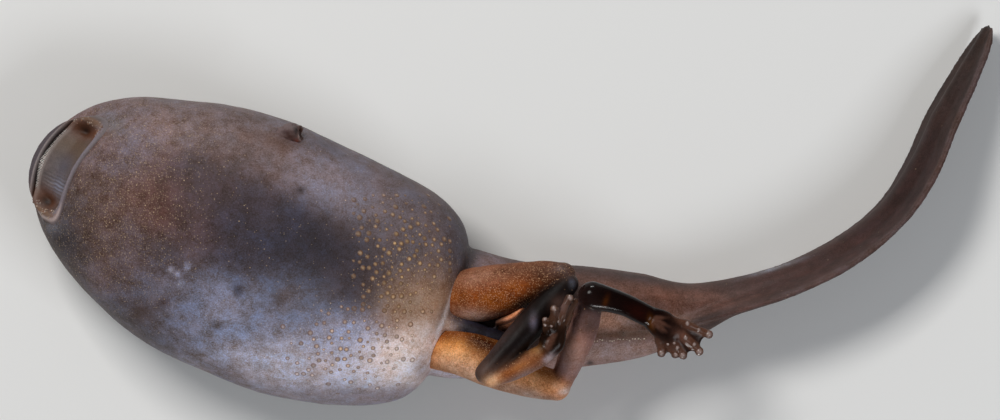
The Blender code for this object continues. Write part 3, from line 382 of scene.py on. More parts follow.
# Marks on the tail, among them painted shade, painted highlight and painted light, and dotted
# lines of pores along its belly side: ends, colour, share of the spacing
TAIL_MARKS_SHADE_AND_GLINTS = (
    ("#4c3e40", (-1.6, -3.9), (2.2, 0.9), -18.0, 0.7),
    ("#9a868c", (-2.8, -3.9), (2.2, 0.7), -20.0, 0.7),
    # Painted shade along the tail's upper edge
    ("#2c2226", (6.9, -4.45), (3.0, 0.22), -3.0, 0.85),
    ("#cdc2cc", (-4.6, -14.0), (2.2, 0.6), 0.0, 0.9),
    # Painted shade in the hollow between the left leg and the vent tube
    ("#150a06", (-0.2, -9.0), (2.4, 1.4), 40.0, 0.9),
    # The orange skin in that hollow, painted brighter than it is as painted light
    ("#ffa878", (0.3, -8.65), (1.0, 0.34), 44.0, 1.0),
    # Painted shade in the hollow between the left shank and tarsus
    ("#120908", (1.9, -11.2), (1.3, 0.5), 40.0, 0.95),
    # Pink-orange skin, painted lighter still as painted light where the tarsus shades it
    ("#dcae98", (9.3, -9.15), (3.2, 0.7), -4.0, 0.85),
    ("#a98a80", (9.0, -12.0), (4.5, 0.8), 4.0, 0.85),
    ("#5c3618", (9.4, -10.42), (3.2, 0.26), 2.0, 0.85),
    ("#2c2226", (6.9, -12.9), (0.22, 0.18), 0.0, 0.9),
    ("#764e3e", (11.5, -6.6), (5.0, 0.8), -6.0, 0.7),
    # Painted shade along the upper edge
    ("#3a2826", (11.5, -5.4), (6.0, 0.4), -6.0, 0.8),
    ("#33221f", (17.0, -9.0), (2.2, 0.2), 17.0, 0.9),
    ("#3a2826", (17.6, -9.5), (2.4, 0.12), 15.0, 0.8),
    ("#3c2a28", (17.0, -9.95), (1.6, 0.12), 12.0, 0.8),
    # Painted highlight: a pale streak
    ("#9aa0ac", (23.0, -4.55), (1.4, 0.14), 17.0, 0.8),
)
VENT_COLOURS = ("#2f2c38", "#100a0c")
PORE_ROWS = (((6.9, -10.35), (12.2, -10.15), "#54321a", 0.5),
             ((6.8, -10.55), (12.0, -10.35), "#6a4428", 0.5),
             ((6.8, -10.95), (11.6, -10.8), "#e0c8b0", 0.55))
PORE_SPACING = 0.24

# Glands: their field's place, half sizes and turn; least and most width as shares of a common
# gland; colours of centre and ring
ORANGE_GLANDS = (((-9.5, -3.3), (1.9, 2.3), 0.0), (0.4, 1.15), "#cda878", "#6a4628")
RINGED_GLANDS = (((-14.0, -11.6), (2.5, 1.7), 8.0), (0.6, 1.15), "#e4bc94", "#6f4a30")
# Distance along the body where the glands end
GLAND_LIMIT = 37.6

# Floor and light in metres and watts: lamp's name, place, size, power, colour, and whether it
# lights matt skin too or shows only as a glint on wet skin
FLOOR_HALF = 0.9
ROOM_COLOUR = (0.92, 0.95, 1.0, 1.0)
ROOM_STRENGTH = 0.16
LAMPS = (
    ("key", (-0.18, 0.22, 0.42), (0.20, 0.12), 1.6, (1.0, 0.98, 0.95), True),
    ("fill", (0.25, -0.22, 0.36), (0.22, 0.16), 0.75, (0.93, 0.96, 1.0), True),
    ("glint behind", (0.0, 0.45, 0.12), (0.12, 0.02), 0.85, (1.0, 1.0, 1.0), False),
    ("glint in front", (0.0, -0.45, 0.12), (0.12, 0.02), 0.85, (1.0, 1.0, 1.0), False),
)
# The camera looks straight down on this point, and sees this breadth at its height
AIM = np.array([-0.9603, 0.48015, 9.0])
SEEN_BREADTH = 87.3
SENSOR_WIDTH = 36.0

# Skin patterns as real size, detail and roughness of a noise: blotches, single pigment cells,
# which are about 0.1 mm across and drawn a little coarser to show, and the drift of the veins
MOTTLE_NOISE = (1.3, 5.0, 0.68)
STIPPLE_NOISE = (0.13, 2.0, 0.6)
DRIFT_NOISE = (3.1, 6.0, 0.7)
# Swing of the blotches, the veins' share of their noise's range, and how dark they are
MOTTLE_DEPTH = 0.42
VEIN_WIDTH = 0.022
VEIN_SHADE = 0.74
# Grain and relief of soft tissue in millimetres
TISSUE_GRAIN = 0.12
TISSUE_BUMP = 0.02
# Dark grains are browner than the skin and pale ones bluer: powers of the swing by channel
SWING_POWERS = (0.8, 1.1, 1.45)
WARM_CAST = (1.09, 0.97, 0.89, 1.0)
COOL_CAST = (0.93, 1.0, 1.09, 1.0)
PALE_SPECK = "#efe4e0"
# Layers of specks: cell size, then radius and strength as shares
BELLY_SPECK_LAYERS = ((0.16, 0.23, 0.42), (0.24, 0.17, 0.55), (0.44, 0.11, 0.85))
LEG_SPECK_LAYERS = ((0.13, 0.28, 0.40), (0.19, 0.20, 0.45), (0.30, 0.12, 0.42))
# Where specks are thick: plan place, half sizes, turn, share of cells
SPECK_FIELDS = (((-34.2, 1.2), (4.2, 8.0), -20.0, 0.98), ((-8.0, -7.8), (2.6, 3.2), 0.0, 1.0),
                ((-12.0, -12.0), (5.0, 2.5), 5.0, 0.8))


class BellyFinish(bpy.types.PropertyGroup):
    """Sizes and colours of the skin of the body and tail."""

    grid: FloatProperty(name="Skin grid", description="Spacing of the skin's fine grid",
                        default=0.000235, min=0.0001, max=0.001, unit="LENGTH")
    relief: FloatProperty(name="Skin relief", description="Depth of the soft folds of the skin",
                          default=0.00003, min=0.0, max=0.001, unit="LENGTH")
    speck_colour: FloatVectorProperty(name="Specks", description="Cream specks on the throat",
                                      default=(0.50, 0.36, 0.23), subtype="COLOR", size=3)


class GlandFinish(bpy.types.PropertyGroup):
    """Sizes and colours of the skin glands at the rear of the belly."""

    orange_count: IntProperty(name="Orange glands", description="Number of raised orange glands",
                              default=170, min=0, max=400)
    ring_count: IntProperty(name="Ringed glands", description="Number of pale glands with a rim",
                            default=95, min=0, max=400)
    width: FloatProperty(name="Gland width", description="Breadth of a common gland",
                         default=0.00055, min=0.0001, max=0.002, unit="LENGTH")


class LegFinish(bpy.types.PropertyGroup):
    """Sizes of the skin of the hind legs."""

    grid: FloatProperty(name="Leg grid", description="Spacing of the leg skin's fine grid",
                        default=0.00011, min=0.00005, max=0.001, unit="LENGTH")


class MouthFinish(bpy.types.PropertyGroup):
    """Counts of the mouth's small pieces."""

    denticles: IntProperty(name="Denticles", description="Number of fine teeth along the slit",
                           default=64, min=1, max=200)
    papillae: IntProperty(name="Papillae", description="Number of soft bumps at each corner",
                          default=60, min=0, max=200)


class StudioFinish(bpy.types.PropertyGroup):
    """The floor and the light."""

    floor_colour: FloatVectorProperty(name="Floor", description="Plain pale floor",
                                      default=(0.80, 0.80, 0.79), subtype="COLOR", size=3)
    camera_distance: FloatProperty(name="Camera distance", description="Camera above the floor",
                                   default=1.6, min=0.2, max=1.7, unit="LENGTH")


# Numbers


def linear(code):
    """A colour's sRGB hex code as linear red, green, blue and 1."""
    parts = np.array([int(code[start:start + 2], 16) / 255.0 for start in (1, 3, 5)])
    bright = ((parts + 0.055) / 1.055) ** 2.4
    return tuple(np.where(parts <= 0.04045, parts / 12.92, bright)) + (1.0,)


def unit(vectors):
    """Vectors scaled to length one."""
    return vectors / np.maximum(np.linalg.norm(vectors, axis=-1, keepdims=True), 1e-12)


def ease(low, high, values):
    """0 below low, 1 above high, and a smooth S between them."""
    part = np.clip((values - low) / (high - low), 0.0, 1.0)
    return part * part * (3.0 - 2.0 * part)


def smooth(where, at, values):
    """A cubic through the values, with slopes taken from neighbouring points."""
    at = np.asarray(at, float)
    values = np.asarray(values, float)
    flat = values.ndim == 1
    if flat:
        values = values[:, None]
    slopes = np.gradient(values, at, axis=0)
    where = np.clip(np.asarray(where, float), at[0], at[-1])
    left = np.clip(np.searchsorted(at, where, side="right") - 1, 0, len(at) - 2)
    width = (at[left + 1] - at[left])[..., None]
    part = (where - at[left])[..., None] / width
    result = ((2 * part**3 - 3 * part**2 + 1) * values[left]
              + (part**3 - 2 * part**2 + part) * width * slopes[left]
              + (3 * part**2 - 2 * part**3) * values[left + 1]
              + (part**3 - part**2) * width * slopes[left + 1])
    return result[..., 0] if flat else result


def spread(values, count):
    """A run of values drawn out to a count of them, evenly along a smooth cubic."""
    return smooth(np.linspace(0.0, 1.0, count), np.linspace(0.0, 1.0, len(values)), np.array(values))


def bell(values, middle, width):
    """1 at the middle, and e to minus the square of the widths away from it elsewhere."""
    return np.exp(-(((values - middle) / width) ** 2))


def turns(count):
    """Angles spread evenly over a full turn."""
    return np.arange(count) * (FULL_TURN / count)


def bent(part, power):
    """A cosine or sine as a super-oval has it: its size to 2 over the power, with its sign."""
    return np.sign(part) * np.abs(part) ** (2.0 / power)


def run_lengths(path):
    """The length of a path of points up to each of them."""
    return np.concatenate([[0.0], np.cumsum(np.linalg.norm(np.diff(path, axis=0), axis=1))])


def grain(points, size, seed):
    """Smooth noise from -1 to 1: each cell corner has a number, eased between corners."""
    cells = points / size
    base = np.floor(cells).astype(np.int64)
    part = cells - base
    part = part * part * (3.0 - 2.0 * part)
    total = np.zeros(len(points))
    for corner in range(8):
        step = np.array([corner & 1, corner >> 1 & 1, corner >> 2 & 1])
        place = base + step
        mixed = place[:, 0] * 73856093 ^ place[:, 1] * 19349663 ^ place[:, 2] * 83492791 ^ seed * 2654435
        mixed = (mixed * 1103515245 + 12345) & 0x7FFFFFFF
        value = ((mixed >> 8) & 0xFFFF) / 32767.5 - 1.0
        weight = np.prod(np.where(step == 1, part, 1.0 - part), axis=1)
        total += weight * value
    return total


# Shapes


def closed_grid(rings, start, end):
    """Points and faces of closed rings (rows, around, 3) with a pole point at each end."""
    rows, around = rings.shape[:2]
    points = np.vstack([rings.reshape(-1, 3), np.reshape(start, (1, 3)), np.reshape(end, (1, 3))])
    row, step = np.meshgrid(np.arange(rows - 1), np.arange(around), indexing="ij")
    near = (row * around + step).ravel()
    beside = (row * around + (step + 1) % around).ravel()
    quads = np.stack([near, beside, beside + around, near + around], axis=1)
    step = np.arange(around)
    after = (step + 1) % around
    last = (rows - 1) * around
    first_cap = np.stack([np.full(around, rows * around), after, step], axis=1)
    last_cap = np.stack([np.full(around, rows * around + 1), last + step, last + after], axis=1)
    return points, quads.tolist() + first_cap.tolist() + last_cap.tolist()


def ringed(centres, sides, ups, across, upward, around, power=2.0):
    """Super-ovals round centres: sides times cosine across, and ups times sine upward.

    A power of 2 makes plain ovals.
    """
    angle = turns(around)
    across, upward = (np.broadcast_to(way, centres.shape)[:, None] for way in (across, upward))
    return (centres[:, None] + (sides[:, None] * bent(np.cos(angle), power))[..., None] * across
            + (ups[:, None] * bent(np.sin(angle), power))[..., None] * upward)


def joined(shells):
    """Several shells of points and faces as one."""
    points = []
    faces = []
    count = 0
    for shell_points, shell_faces in shells:
        points.append(shell_points)
        faces += [[index + count for index in face] for face in shell_faces]
        count += len(shell_points)
    return np.vstack(points), faces


def make_mesh(name, points, faces):
    """A smooth mesh from points in millimetres and faces."""
    mesh = bpy.data.meshes.new(name)
    mesh.from_pydata(((points - MIDDLE) * MM).tolist(), [], faces)
    mesh.update()
    mesh.shade_smooth()
    return mesh


def place_piece(name, mesh, material, slot, *nodes):
    """A finished piece in the scene, that rides with the animal and stands for nodes."""
    piece = bpy.data.objects.new(name, mesh)
    bpy.context.scene.collection.objects.link(piece)
    mesh.materials.clear()
    mesh.materials.append(material)
    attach(piece, "root")
    if nodes:
        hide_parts(*nodes)


def painted_piece(name, shells, tones, material, slot):
    """Shells joined as one piece, with each shell's colours."""
    mesh = make_mesh(name, *joined(shells))
    write_tint(mesh, np.vstack(tones))
    place_piece(name, mesh, material, slot)


def fuse(name, shells, grid, passes):
    """Overlapping closed shells rebuilt as one closed skin on a fine grid, then smoothed."""
    points, faces = joined(shells)
    rough = bpy.data.objects.new(name + "_rough", make_mesh(name + "_rough", points, faces))
    bpy.context.scene.collection.objects.link(rough)
    remesh = rough.modifiers.new("one skin", "REMESH")
    remesh.mode = "VOXEL"
    remesh.voxel_size = grid
    remesh.use_smooth_shade = True
    soften = rough.modifiers.new("soften", "SMOOTH")
    soften.factor = 0.5
    soften.iterations = passes
    graph = bpy.context.evaluated_depsgraph_get()
    graph.update()
    mesh = bpy.data.meshes.new_from_object(rough.evaluated_get(graph))
    mesh.name = name
    bpy.data.objects.remove(rough, do_unlink=True)
    return mesh


def read_points(mesh):
    """A mesh's points in millimetres and its normals."""
    flat = np.empty(len(mesh.vertices) * 3, np.float32)
    mesh.vertices.foreach_get("co", flat)
    normals = np.empty(len(mesh.vertices) * 3, np.float32)
    mesh.vertex_normals.foreach_get("vector", normals)
    return flat.reshape(-1, 3).astype(float) / MM + MIDDLE, normals.reshape(-1, 3).astype(float)


def write_points(mesh, points):
    """Moves a mesh's points, given in millimetres."""
    mesh.vertices.foreach_set("co", ((points - MIDDLE) * MM).astype(np.float32).ravel())
    mesh.update()


def write_tint(mesh, colours):
    """Stores a linear colour for each point."""
    layer = mesh.attributes.new("tint", "FLOAT_COLOR", "POINT")
    full = np.concatenate([np.clip(colours, 0.0, 1.0), np.ones((len(colours), 1))], axis=1)
    layer.data.foreach_set("color", full.astype(np.float32).ravel())


def write_amount(mesh, name, values):
    """Stores one number for each point."""
    layer = mesh.attributes.new(name, "FLOAT", "POINT")
    layer.data.foreach_set("value", np.asarray(values, np.float32))


def body_points(distance, angle):
    """The body's skin: at each distance a super-oval, round-ended along the body.

    Angle 0 is the left flank and a quarter turn is the belly. Sizes over the root of the
    distances to both ends vary smoothly, which rounds the ends.
    """
    at = BODY_STATIONS[:, 0]
    front, rear = BODY_ENDS

    def rounding(where):
        """The root of the product of the distances to both ends."""
        return np.sqrt(np.clip((where - front) * (rear - where), 0.0, None))

    def rounded(values):
        """A size that falls to nothing at both ends."""
        return smooth(distance, at, values / rounding(at)) * rounding(distance)

    ends = np.interp(distance, BODY_ENDS, BODY_ENDS_HEIGHT)
    ends_at = np.interp(at, BODY_ENDS, BODY_ENDS_HEIGHT)
    shift = smooth(distance, at, BODY_STATIONS[:, 1])
    breadth = rounded(BODY_STATIONS[:, 2])
    widest = ends + rounded(BODY_STATIONS[:, 4] - ends_at)
    low = rounded(BODY_STATIONS[:, 4] - BODY_STATIONS[:, 3])
    high = rounded(BODY_STATIONS[:, 5] - BODY_STATIONS[:, 4])
    across = np.cos(angle)
    up = np.sin(angle)
    power = np.where(up >= 0.0, BELLY_POWER, BACK_POWER)
    side = bent(across, power) * breadth
    height = bent(up, power)
    points = BODY_SNOUT + distance[..., None] * BODY_BACK + (shift + side)[..., None] * BODY_LEFT
    points[..., 2] = widest + height * np.where(up >= 0.0, high, low)
    return points


def body_shell(rows=150, around=200):
    """The whole body as one closed shell, flat where it rests."""
    turn = np.linspace(0.0, math.pi, rows + 2)[1:-1]
    front, rear = BODY_ENDS
    distance = front + (rear - front) * (1.0 - np.cos(turn)) / 2.0
    rings = body_points(*np.meshgrid(distance, turns(around), indexing="ij"))
    rings[..., 2] = np.maximum(rings[..., 2], 0.0)
    ends = body_points(np.array(BODY_ENDS), np.array([0.0, 0.0]))
    return closed_grid(rings, ends[0], ends[1])


def body_spot(distance, angle):
    """A point of the body's skin and the direction out of it."""
    step = 0.02
    spots = body_points(np.array([distance, distance + step, distance]),
                        np.array([angle, angle, angle + step]))
    middle = body_points(np.array([distance, distance]), np.array([0.0, math.pi])).mean(axis=0)
    outward = unit(np.cross(spots[2] - spots[0], spots[1] - spots[0]))
    if np.dot(outward, spots[0] - middle) < 0.0:
        outward = -outward
    return spots[0], outward


def tube_shell(path, sides, ups, around, spacing):
    """Oval rings carried along a smooth path, with round ends.

    The cap rings shrink as a half round does. Each ring lies across the path, its width
    level and its height upright.
    """
    path = np.asarray(path, float)
    sides = np.asarray(sides, float)
    ups = np.asarray(ups, float)
    lengths = run_lengths(path)
    total = lengths[-1]
    cap = np.sin(np.linspace(0.15, 1.0, 9) * math.pi / 2.0)[:-1]
    count = max(6, int(total / spacing))
    along = np.concatenate([-sides[0] * cap[::-1], np.linspace(0.0, total, count + 1),
                            total + sides[-1] * cap])
    shrink = np.ones_like(along)
    shrink[:len(cap)] = np.sqrt(1.0 - cap[::-1] ** 2)
    shrink[-len(cap):] = np.sqrt(1.0 - cap**2)
    inside = np.clip(along, 0.0, total)
    centre = smooth(inside, lengths, path)
    forward = unit(smooth(np.minimum(inside + 0.05, total), lengths, path)
                   - smooth(np.maximum(inside - 0.05, 0.0), lengths, path))
    centre = centre + forward * (along - inside)[:, None]
    across = unit(np.cross(forward, UPRIGHT))
    upward = np.cross(across, forward)
    side = smooth(inside, lengths, sides) * shrink
    up = smooth(inside, lengths, ups) * shrink
    return closed_grid(ringed(centre, side, up, across, upward, around),
                       path[0] - forward[0] * sides[0], path[-1] + forward[-1] * sides[-1])


def limb_shell(piece, around=40, spacing=0.2):
    """A leg piece: a tube through its points, oval by its two radii."""
    return tube_shell(*zip(*piece), around, spacing)


def toe_shell(toe):
    """A toe: a tube that swells at its joints and its tip."""
    return tube_shell(spread(toe, len(TOE_RADII)), TOE_RADII, TOE_RADII, 24, 0.12)


def ray_path(palm, toe):
    """Points of a low ridge that lies on the palm, from its start to where a toe begins."""
    start, _, start_up = palm[0]
    start = np.array(start) + UPRIGHT * (start_up - RAY_SUNK)
    end = np.array(toe[0]) + UPRIGHT * 0.2
    return np.array([start, 0.5 * (start + end) + UPRIGHT * 0.06, end])


def ray_shell(palm, toe):
    """The ridge of one toe's bone under the skin of the palm."""
    return tube_shell(ray_path(palm, toe), RAY_RADII, RAY_RADII, 20, 0.12)


def web_shell(first, second, steps=16):
    """A thin sheet between two toes, its free edge hollowed as half a sine wave."""
    part = np.linspace(0.0, 1.0, steps)
    along, over = np.meshgrid(part, part, indexing="ij")
    reach = along * (WEB_REACH * (1.0 - WEB_HOLLOW * np.sin(math.pi * part)))[None, :]
    one = smooth(reach, (0.0, 0.5, 1.0), np.array(first))
    two = smooth(reach, (0.0, 0.5, 1.0), np.array(second))
    sheet = one + (two - one) * over[..., None]
    lift = UPRIGHT * (WEB_THICK / 2.0)
    edge_points = np.stack([sheet + lift, sheet - lift])
    points = edge_points.reshape(-1, 3)
    row, step = np.meshgrid(np.arange(steps - 1), np.arange(steps - 1), indexing="ij")
    near = (row * steps + step).ravel()
    top = np.stack([near, near + 1, near + steps + 1, near + steps], axis=1)
    under = top[:, ::-1] + steps * steps
    line = np.arange(steps - 1)
    last = steps * (steps - 1)
    border = np.concatenate([
        np.stack([line, line + 1], axis=1),
        np.stack([line * steps + steps - 1, (line + 1) * steps + steps - 1], axis=1),
        np.stack([last + line + 1, last + line], axis=1),
        np.stack([(line + 1) * steps, line * steps], axis=1)])
    rim = np.stack([border[:, 1], border[:, 0], border[:, 0] + steps**2, border[:, 1] + steps**2], axis=1)
    return points, top.tolist() + under.tolist() + rim.tolist()


def tube_gap(points, path, radii):
    """Each point's distance from a round tube: least of its distances to the path less radii."""
    steps = 30
    reach = np.linalg.norm(points[:, None] - spread(path, steps)[None], axis=2)
    return (reach - spread(radii, steps)[None]).min(axis=1)


def tail_frame(place):
    """Centre, forward, sideways and blade directions and muscle sizes at places from 0 to 1.

    The blade's direction is upright across the middle line, turned about it by the roll.
    """
    plan = TAIL_STATIONS[:, :3]
    at = run_lengths(plan)
    at = at / at[-1]
    centre = smooth(place, at, plan)
    step = 0.004
    forward = unit(smooth(np.minimum(place + step, 1.0), at, plan)
                   - smooth(np.maximum(place - step, 0.0), at, plan))
    level = unit(np.cross(forward, UPRIGHT))
    upright = np.cross(level, forward)
    roll = np.radians(np.interp(place, TAIL_ROLL[:, 0], TAIL_ROLL[:, 1]))[..., None]
    blade = np.cos(roll) * upright + np.sin(roll) * level
    side = np.cos(roll) * level - np.sin(roll) * upright
    sizes = smooth(place, at, TAIL_STATIONS[:, 3:])
    return centre, forward, side, blade, sizes[..., 0], sizes[..., 1]


def muscle_shell(rows=220, around=72):
    """The tail's muscle: super-ovals across its curved middle line."""
    place = np.linspace(0.0, 1.0, rows)
    centre, forward, side, blade, half, deep = tail_frame(place)
    rings = ringed(centre, half, deep, side, blade, around, TAIL_POWER)
    rings[..., 2] = np.maximum(rings[..., 2], 0.0)
    return closed_grid(rings, centre[0], centre[-1] + forward[-1] * 0.3)


def fin_shell(profile, direction, rows=260):
    """A fin: a blade that rises from inside the muscle and thins to a rounded edge.

    The direction is 1 for the fin on the belly's side and -1 for the one on the back's.
    """
    place = np.linspace(profile[0, 0], profile[-1, 0], rows)
    centre, _, side, blade, half, deep = tail_frame(place)
    height = smooth(place, profile[:, 0], profile[:, 1]) + FIN_LIFT
    root = np.minimum(FIN_ROOT_THICK, 0.8 * half) / 2.0
    edge = np.minimum(FIN_EDGE_THICK / 2.0, root)
    part = np.array([-0.5, 0.0, 0.3, 0.6, 0.85, 0.95, 1.0])
    thick = root[:, None] + (edge - root)[:, None] * ease(0.0, 0.85, part)
    thick[:, -2] *= 0.85
    thick[:, -1] *= 0.4
    up = deep[:, None] + part * height[:, None]
    right = np.concatenate([up, up[:, ::-1]], axis=1)
    across = np.concatenate([thick, -thick[:, ::-1]], axis=1)
    rings = (centre[:, None] + across[..., None] * side[:, None]
             + direction * right[..., None] * blade[:, None])
    rings[..., 2] = np.maximum(rings[..., 2], 0.0)
    return closed_grid(rings, rings[0].mean(axis=0), rings[-1].mean(axis=0))


def dome(base, outward, radius, height, around, rows):
    """A closed low dome: its height over the base is a cosine of its share of the radius."""
    helper = UPRIGHT if abs(outward[2]) < 0.9 else np.array([1.0, 0.0, 0.0])
    across = unit(np.cross(outward, helper))
    upward = np.cross(outward, across)
    part = np.linspace(1.0, 0.0, rows + 1)[:-1]
    centres = base + (height * np.cos(part * math.pi / 2.0))[:, None] * outward
    rings = ringed(centres, radius * part, radius * part, across, upward, around)
    return closed_grid(rings, base - 0.3 * radius * outward, base + height * outward)


def dome_shares(around, rows):
    """Each dome point's share of the radius: 1 at its foot and at its pole below, 0 on top."""
    return np.concatenate([np.repeat(np.linspace(1.0, 0.0, rows + 1)[:-1], around), [1.0, 0.0]])


def dropped(name, places):
    """Points of a finished piece straight below plan places, with its normals there."""
    item = bpy.data.objects[name]
    tree = BVHTree.FromObject(item, bpy.context.evaluated_depsgraph_get())
    found = []
    for place in places:
        start = Vector(((place[0] - MIDDLE[0]) * MM, (place[1] - MIDDLE[1]) * MM, 0.05))
        spot, normal, _, _ = tree.ray_cast(start, Vector((0.0, 0.0, -1.0)))
        if spot is not None:
            found.append((np.array(spot) / MM + MIDDLE, np.array(normal)))
    return found


def disc_place(sideways, across, height):
    """Points of the mouth from shares along and across it and a height over it.

    It is bent back by the square of the distance along it.
    """
    sideways = DISC_HALF_LONG * sideways
    points = (DISC_CENTRE + sideways[..., None] * DISC_LONG
              + (DISC_HALF_SHORT * across)[..., None] * DISC_SHORT + height[..., None] * DISC_OUT)
    return points - (DISC_BEND * sideways**2)[..., None] * DISC_AHEAD


def disc_round(reach, angle):
    """Shares along and across the mouth at a reach and angle of its super-oval."""
    stretch = reach / disc_reach(np.cos(angle), np.sin(angle))
    return stretch * np.cos(angle), stretch * np.sin(angle)


def disc_read(points):
    """Shares along and across the mouth, and the height over it, of any points."""
    arm = points - DISC_CENTRE
    sideways = arm @ DISC_LONG
    arm = arm + (DISC_BEND * sideways**2)[:, None] * DISC_AHEAD
    return sideways / DISC_HALF_LONG, arm @ DISC_SHORT / DISC_HALF_SHORT, arm @ DISC_OUT


def disc_reach(sideways, across):
    """1 on the mouth's edge and less inside it: the root of the sum of both shares' powers."""
    return (np.abs(sideways) ** DISC_POWER + np.abs(across) ** DISC_POWER) ** (1.0 / DISC_POWER)


def disc_height(sideways, across):
    """The mouth's face: a bowl inside lips, a shelf for the comb, a slit and two corner pits.

    Bowl and lip are blended by a wall, which follows the outer edge behind and the slit in
    front, so the front lip is a narrow band along the slit.
    """
    reach = disc_reach(sideways, across)
    front = ease(0.1, 0.5, -across)
    wall = np.maximum(ease(0.62, 0.92, reach), ease(SLIT_LINE, SLIT_LINE + 0.06, -across))
    bowl = BOWL_FLOOR * (1.0 - 0.72 * ease(-0.05, COMB_LINE + 0.04, -across))
    for place, level in CORNER_PITS:
        bowl = bowl - 0.45 * bell(sideways, place, 0.13) * bell(across, level, 0.25)
    lip = LIP_TOP - (0.20 + 0.5 * front) * ease(0.88, 1.0, reach)
    slit = bell(across, -SLIT_LINE, SLIT_WIDTH) * ease(SLIT_REACH, SLIT_REACH - 0.08, np.abs(sideways))
    return bowl * (1.0 - wall) + lip * wall - 0.75 * slit


# Materials


def add(tree, kind, links=(), **settings):
    """Adds a node; settings are its own values, and links pair an input with a source or value.

    A node given as a source stands for its first output.
    """
    node = tree.nodes.new("ShaderNode" + kind)
    for key, value in settings.items():
        setattr(node, key, value)
    for key, source in links:
        if isinstance(source, bpy.types.Node):
            source = source.outputs[0]
        if isinstance(source, bpy.types.NodeSocket):
            tree.links.new(source, node.inputs[key])
        else:
            node.inputs[key].default_value = source
    return node


def new_material(name):
    """A new material, its tree of nodes and its shader."""
    material = bpy.data.materials.new(name)
    material.use_nodes = True
    tree = material.node_tree
    return material, tree, tree.nodes["Principled BSDF"]


def moist_skin(name, speck, rough, stipple_depth, bump_depth, subsurface, specular, speck_layers):
    """Preserved skin kept moist: mottled, with pale specks, under a thin wet sheen.

    The painted tint gives the broad colours. It is multiplied by one plus the sum of two
    noises, both scaled by the painted grain, and darkened along thin veins, where a third
    noise is near its middle; each channel has its own power of that product. The third
    noise also drifts the skin from warm to cool. Cells
    scattered in layers of (cell size, radius, strength) give the pale specks, which are
    nearly white on pale skin; the painted gold is the share of cells that have one. The
    painted wet turns the roughness from its first value to its second and smooths the bump.
    """
    material, tree, shader = new_material(name)
    place = add(tree, "TexCoord").outputs["Object"]
    tint = add(tree, "Attribute", attribute_name="tint").outputs["Color"]
    gold, wet, grainy = (add(tree, "Attribute", attribute_name=key).outputs["Fac"]
                         for key in ("gold", "wet", "grain"))
    coarse, fine, drift = (
        add(tree, "TexNoise", [("Vector", place), ("Scale", 1.0 / (size * MM)), ("Detail", detail),
                               ("Roughness", share)])
        for size, detail, share in (MOTTLE_NOISE, STIPPLE_NOISE, DRIFT_NOISE))
    dapple, stipple = (
        add(tree, "MapRange", [("Value", noise), ("From Min", 0.3), ("From Max", 0.7), ("To Min", -depth),
                               ("To Max", depth)])
        for noise, depth in ((coarse, MOTTLE_DEPTH), (fine, stipple_depth)))
    swing = add(tree, "Math", [(0, stipple), (1, dapple)], operation="ADD")
    swing = add(tree, "Math", [(0, swing), (1, grainy), (2, 1.0)], operation="MULTIPLY_ADD")
    off = add(tree, "Math", [(0, drift), (1, 0.5)], operation="SUBTRACT")
    off = add(tree, "Math", [(0, off)], operation="ABSOLUTE")
    vein = add(tree, "MapRange", [("Value", off), ("From Max", VEIN_WIDTH), ("To Min", VEIN_SHADE)])
    swing = add(tree, "Math", [(0, swing), (1, vein)], operation="MULTIPLY")
    powers = add(tree, "CombineXYZ", [
        (channel, add(tree, "Math", [(0, swing), (1, power)], operation="POWER"))
        for channel, power in zip("XYZ", SWING_POWERS)])
    colour = add(tree, "VectorMath", [(0, tint), (1, powers)], operation="MULTIPLY")
    warm = add(tree, "MapRange", [("Value", drift), ("From Min", 0.35), ("From Max", 0.65)])
    cast = add(tree, "Mix", [(0, warm), (6, WARM_CAST), (7, COOL_CAST)], data_type="RGBA").outputs[2]
    colour = add(tree, "VectorMath", [(0, colour), (1, cast)], operation="MULTIPLY").outputs["Vector"]
    parts = add(tree, "SeparateColor", [("Color", tint)])
    pale = add(tree, "MapRange", [("Value", parts.outputs["Blue"]), ("From Min", 0.12), ("From Max", 0.45)])
    speck = add(tree, "Mix", [(0, pale), (6, speck), (7, linear(PALE_SPECK))], data_type="RGBA").outputs[2]
    for size, radius, strength in speck_layers:
        cells = add(tree, "TexVoronoi", [("Vector", place), ("Scale", 1.0 / (size * MM)),
                                         ("Randomness", 1.0)])
        small = add(tree, "MapRange", [("Value", cells.outputs["Distance"]), ("From Min", 1.5 * radius),
                                       ("From Max", radius), ("To Min", 0.0), ("To Max", 1.0)])
        chance = add(tree, "SeparateColor", [("Color", cells.outputs["Color"])])
        shown = add(tree, "Math", [(0, chance.outputs["Red"]), (1, gold)], operation="LESS_THAN")
        amount = add(tree, "Math", [(0, small), (1, shown)], operation="MULTIPLY")
        bright = add(tree, "MapRange", [("Value", chance.outputs["Green"]), ("To Min", 0.25 * strength),
                                        ("To Max", strength)])
        amount = add(tree, "Math", [(0, amount), (1, bright)], operation="MULTIPLY")
        colour = add(tree, "Mix", [(0, amount), (6, colour), (7, speck)], data_type="RGBA").outputs[2]
    tree.links.new(colour, shader.inputs["Base Color"])
    roughness = add(tree, "MapRange", [("Value", wet), ("To Min", rough[0]), ("To Max", rough[1])])
    tree.links.new(roughness.outputs["Result"], shader.inputs["Roughness"])
    lift = add(tree, "Math", [(0, fine), (1, coarse)], operation="ADD")
    dry = add(tree, "MapRange", [("Value", wet), ("To Min", 0.7), ("To Max", 0.12)])
    bump = add(tree, "Bump", [("Height", lift), ("Strength", dry), ("Distance", bump_depth * MM)])
    tree.links.new(bump.outputs["Normal"], shader.inputs["Normal"])
    for key, value in (("IOR", 1.40), ("Specular IOR Level", specular), ("Subsurface Weight", subsurface),
                       ("Subsurface Radius", (1.0, 0.45, 0.3)), ("Subsurface Scale", 0.5 * MM)):
        shader.inputs[key].default_value = value
    return material


